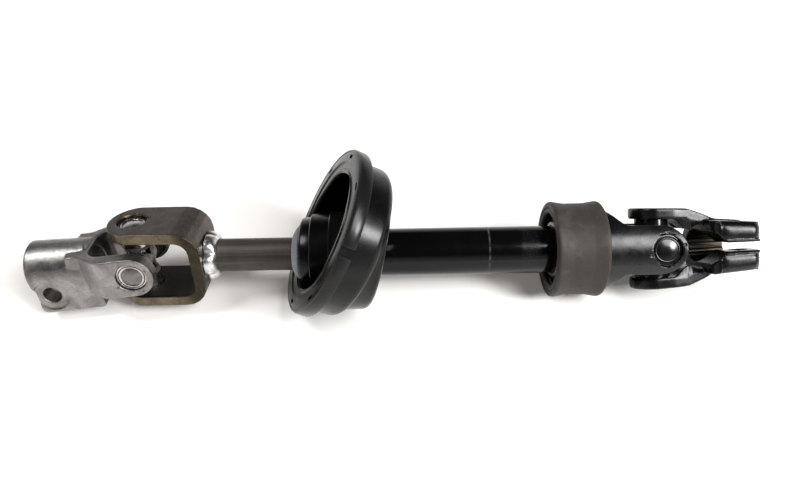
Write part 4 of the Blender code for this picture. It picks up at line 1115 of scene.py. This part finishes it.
def wiper(material):
    """A felt wiper with an uneven, fibrous face."""
    low, high = WIPER_LOW.x, WIPER_HIGH.x
    outer = (WIPER_HIGH.z - WIPER_LOW.z) / 2
    inner = SHAFT_RADIUS + 0.3 * MM
    nose = 3.7 * MM
    face = [(outer, high), (outer, low + nose)]
    steps = 14
    for k in range(steps + 1):
        t = k / steps
        face.append((outer - (outer - inner - 0.4 * MM) * t, low + nose * (1 - t) ** 1.4))
    face += [(inner, low + 0.2 * MM), (inner, high)]

    def swell(radius, along, angle):
        if along > low + nose + 0.1 * MM or radius < inner + 0.1 * MM:
            return 0.0
        point = Vector((math.cos(angle), math.sin(angle), 120 * along)) * 22.0
        return 0.22 * MM * noise.noise(point)

    mesh = turned_mesh("wiper_felt_ring", face, SHAFT_FRAME, 128, swell)
    mesh.shade_smooth()
    new_piece("wiper_felt_ring", mesh, "boot", "wiper_felt", material, replaced=["wiper_seal"])


# Stage. A lamp is its direction from the object, its size and its power

FLOOR_GLOW = 0.11
FAR_GLOW = 0.45
GLOW_REACH = (0.16, 0.45)
WORLD_FILL = 0.15
WARM_WHITE = (1.0, 0.93, 0.86, 1.0)
WHITE = (1.0, 1.0, 1.0, 1.0)
HORIZON = (0.10, 0.45)
CEILING = 0.02
LEFT_LAMP = (Vector((-0.50, 0.05, 0.86)), 0.34, 5.0)
RIGHT_LAMP = (Vector((0.50, -0.35, 0.79)), 0.45, 7.4)
FRONT_LAMP = (Vector((0.70, -0.43, 0.57)), 0.27, 7.5)


def set_floor():
    """A pale floor. Its glow grows outwards, and lights nothing but what the camera and gloss see."""
    mesh = bpy.data.meshes.new("floor")
    bm = bmesh.new()
    bmesh.ops.create_grid(bm, x_segments=1, y_segments=1, size=6.0)
    bm.to_mesh(mesh)
    bm.free()
    floor = scene_object("floor", mesh)
    material = bpy.data.materials.new("floor")
    material.use_nodes = True
    tree = material.node_tree
    tree.nodes.clear()
    add = tree.nodes.new
    link = tree.links.new
    out = add("ShaderNodeOutputMaterial")
    diffuse = add("ShaderNodeBsdfDiffuse")
    diffuse.inputs["Color"].default_value = (0.88, 0.87, 0.86, 1.0)
    glow = add("ShaderNodeEmission")
    place = add("ShaderNodeTexCoord")
    reach = add("ShaderNodeVectorMath")
    reach.operation = "LENGTH"
    link(place.outputs["Object"], reach.inputs[0])
    rise = add("ShaderNodeMapRange")
    for socket, number in zip(MAP_SOCKETS, (*GLOW_REACH, FLOOR_GLOW, FAR_GLOW)):
        rise.inputs[socket].default_value = number
    link(reach.outputs["Value"], rise.inputs["Value"])
    link(rise.outputs["Result"], glow.inputs["Strength"])
    glow.inputs["Color"].default_value = WARM_WHITE
    path = add("ShaderNodeLightPath")
    bent = add("ShaderNodeMath")
    bent.operation = "MAXIMUM"
    link(path.outputs["Is Glossy Ray"], bent.inputs[0])
    link(path.outputs["Is Transmission Ray"], bent.inputs[1])
    seen = add("ShaderNodeMath")
    seen.operation = "MAXIMUM"
    link(path.outputs["Is Camera Ray"], seen.inputs[0])
    link(bent.outputs["Value"], seen.inputs[1])
    dark = add("ShaderNodeEmission")
    dark.inputs["Strength"].default_value = 0.0
    pick = add("ShaderNodeMixShader")
    total = add("ShaderNodeAddShader")
    link(seen.outputs["Value"], pick.inputs["Fac"])
    link(dark.outputs["Emission"], pick.inputs[1])
    link(glow.outputs["Emission"], pick.inputs[2])
    link(diffuse.outputs["BSDF"], total.inputs[0])
    link(pick.outputs["Shader"], total.inputs[1])
    link(total.outputs["Shader"], out.inputs["Surface"])
    mesh.materials.append(material)


def set_world():
    """A soft white room for diffuse light. Gloss sees a white horizon under a dark ceiling."""
    world = bpy.data.worlds.new("studio")
    bpy.context.scene.world = world
    world.use_nodes = True
    tree = world.node_tree
    tree.nodes.clear()
    add = tree.nodes.new
    link = tree.links.new
    out = add("ShaderNodeOutputWorld")
    path = add("ShaderNodeLightPath")
    place = add("ShaderNodeTexCoord")
    split = add("ShaderNodeSeparateXYZ")
    link(place.outputs["Generated"], split.inputs["Vector"])
    height = add("ShaderNodeMapRange")
    for socket, number in zip(MAP_SOCKETS, (*HORIZON, 1.0, CEILING)):
        height.inputs[socket].default_value = number
    link(split.outputs["Z"], height.inputs["Value"])
    fill = add("ShaderNodeBackground")
    fill.inputs["Strength"].default_value = WORLD_FILL
    fill.inputs["Color"].default_value = WARM_WHITE
    seen = add("ShaderNodeBackground")
    seen.inputs["Color"].default_value = WHITE
    link(height.outputs["Result"], seen.inputs["Strength"])
    glossy = add("ShaderNodeMixShader")
    link(path.outputs["Is Glossy Ray"], glossy.inputs["Fac"])
    link(fill.outputs["Background"], glossy.inputs[1])
    link(seen.outputs["Background"], glossy.inputs[2])
    white = add("ShaderNodeBackground")
    white.inputs["Color"].default_value = WHITE
    last = add("ShaderNodeMixShader")
    link(path.outputs["Is Camera Ray"], last.inputs["Fac"])
    link(glossy.outputs["Shader"], last.inputs[1])
    link(white.outputs["Background"], last.inputs[2])
    link(last.outputs["Shader"], out.inputs["Surface"])


def set_lamp(name, direction, size, power):
    data = bpy.data.lights.new(name, "AREA")
    data.shape = "DISK"
    data.size = size
    data.energy = power
    lamp = scene_object(name, data)
    lamp.location = Vector((0.0, 0.0, 0.02)) + direction
    lamp.rotation_euler = direction.to_track_quat("Z", "Y").to_euler()


bpy.context.scene.view_settings.view_transform = "Standard"
set_camera()
set_floor()
set_world()
set_lamp("left_lamp", *LEFT_LAMP)
set_lamp("right_lamp", *RIGHT_LAMP)
set_lamp("front_lamp", *FRONT_LAMP)

FORGED = forged_steel()
BEARING = bearing_steel("bearing_steel", (0.17, 0.162, 0.157), (0.060, 0.056, 0.054))
# A lighter copy of the bearing steel as painted highlight, for the strap cups' domes and the steel cups' rims.
LIT_CUP_STEEL = bearing_steel("lit_cup_steel", (0.56, 0.53, 0.52), (0.26, 0.245, 0.235))
# Oily steel darkened further as painted shade, for parts set between others: the lower cross, the sleeve inside
# the ring and the needles.
OILY_SHADED_STEEL = bearing_steel("oily_shaded_steel", (0.080, 0.071, 0.062), (0.030, 0.026, 0.022))
RING_RUBBER = rubber("ring_rubber", (0.033, 0.0285, 0.0262), 0.56, (0.105, 0.092, 0.083), 0.45, 0.25, 0.22)
BOOT_RUBBER = rubber("boot_rubber", (0.0025, 0.0025, 0.0026), 0.24, (0.045, 0.045, 0.045), 0.10, 0.35, 0.22)
SEAL_RUBBER = rubber("seal_rubber", (0.010, 0.010, 0.010), 0.45, (0.05, 0.05, 0.05), 0.25, 0.4)
GREY_SEAL = rubber("grey_seal", (0.055, 0.052, 0.048), 0.50, (0.14, 0.13, 0.12), 0.25, 0.4)
SATIN_PAINT = black_paint("satin_black_paint", (0.0030, 0.0030, 0.0034), 0.27, 0.00002, 0.05, 0.40).material
END_PAINT = black_paint("end_black_paint", (0.0030, 0.0030, 0.0034), 0.26, 0.00002, 0.05, 0.28).material
CUP_PAINT = black_paint("cup_black_paint", (0.0030, 0.0030, 0.0034), 0.18, 0.00001, 0.04, 0.36).material
NYLON = nylon()
# Each set is dome, groove and rims; in the steel cups the seal rubber in the groove is painted shade.
FRONT_CUP = (BEARING, SEAL_RUBBER, LIT_CUP_STEEL)
STRAP_CUP = (LIT_CUP_STEEL, SEAL_RUBBER, LIT_CUP_STEEL)
PAINTED_CUP = (CUP_PAINT, SATIN_PAINT, CUP_PAINT)

clamp_yoke(FORGED)
strap_yoke(strap_steel(), strap_cut_edge(), strap_inside_shade())
weld_bead(weld_metal())
inner_shaft(shaft_steel())
outer_tube(tube_paint(SCRATCH_AT, DULL_AT, DULL_HALF))
isolator_ring(RING_RUBBER)
inner_bush(RING_RUBBER, OILY_SHADED_STEEL)
tube_yoke(SATIN_PAINT)
end_yoke(END_PAINT, shaded_bare_serration())
boot(BOOT_RUBBER)
wiper(felt())
bearing_pair("clamp_yoke", "lower_clamp_yoke", LOWER_CENTRE, CLAMP_EARS, LOWER_CROWN, FRONT_CUP,
             "bearing_steel")
bearing_pair("strap_yoke", "inner_shaft", LOWER_CENTRE, STRAP_EARS, LOWER_CROWN, STRAP_CUP, "bearing_steel")
bearing_pair("tube_yoke", "tube", UPPER_CENTRE, TUBE_EARS, UPPER_CROWN, PAINTED_CUP, "satin_black_paint")
bearing_pair("end_yoke", "upper_end_yoke", UPPER_CENTRE, END_EARS, UPPER_CROWN, PAINTED_CUP,
             "satin_black_paint")
cross_body("lower", "lower_cross", OILY_SHADED_STEEL)
cross_body("upper", "upper_cross", SATIN_PAINT)
seal_set("lower", "lower_cross", LOWER_CENTRE, (STRAP_EARS, CLAMP_EARS), GREY_SEAL)
seal_set("upper", "upper_cross", UPPER_CENTRE, (TUBE_EARS, END_EARS), SEAL_RUBBER)

for node, obj in frame["nodes"].items():
    if not obj.hide_render:
        obj.data.materials.clear()
        obj.data.materials.append(OILY_SHADED_STEEL if "needles" in node else NYLON)
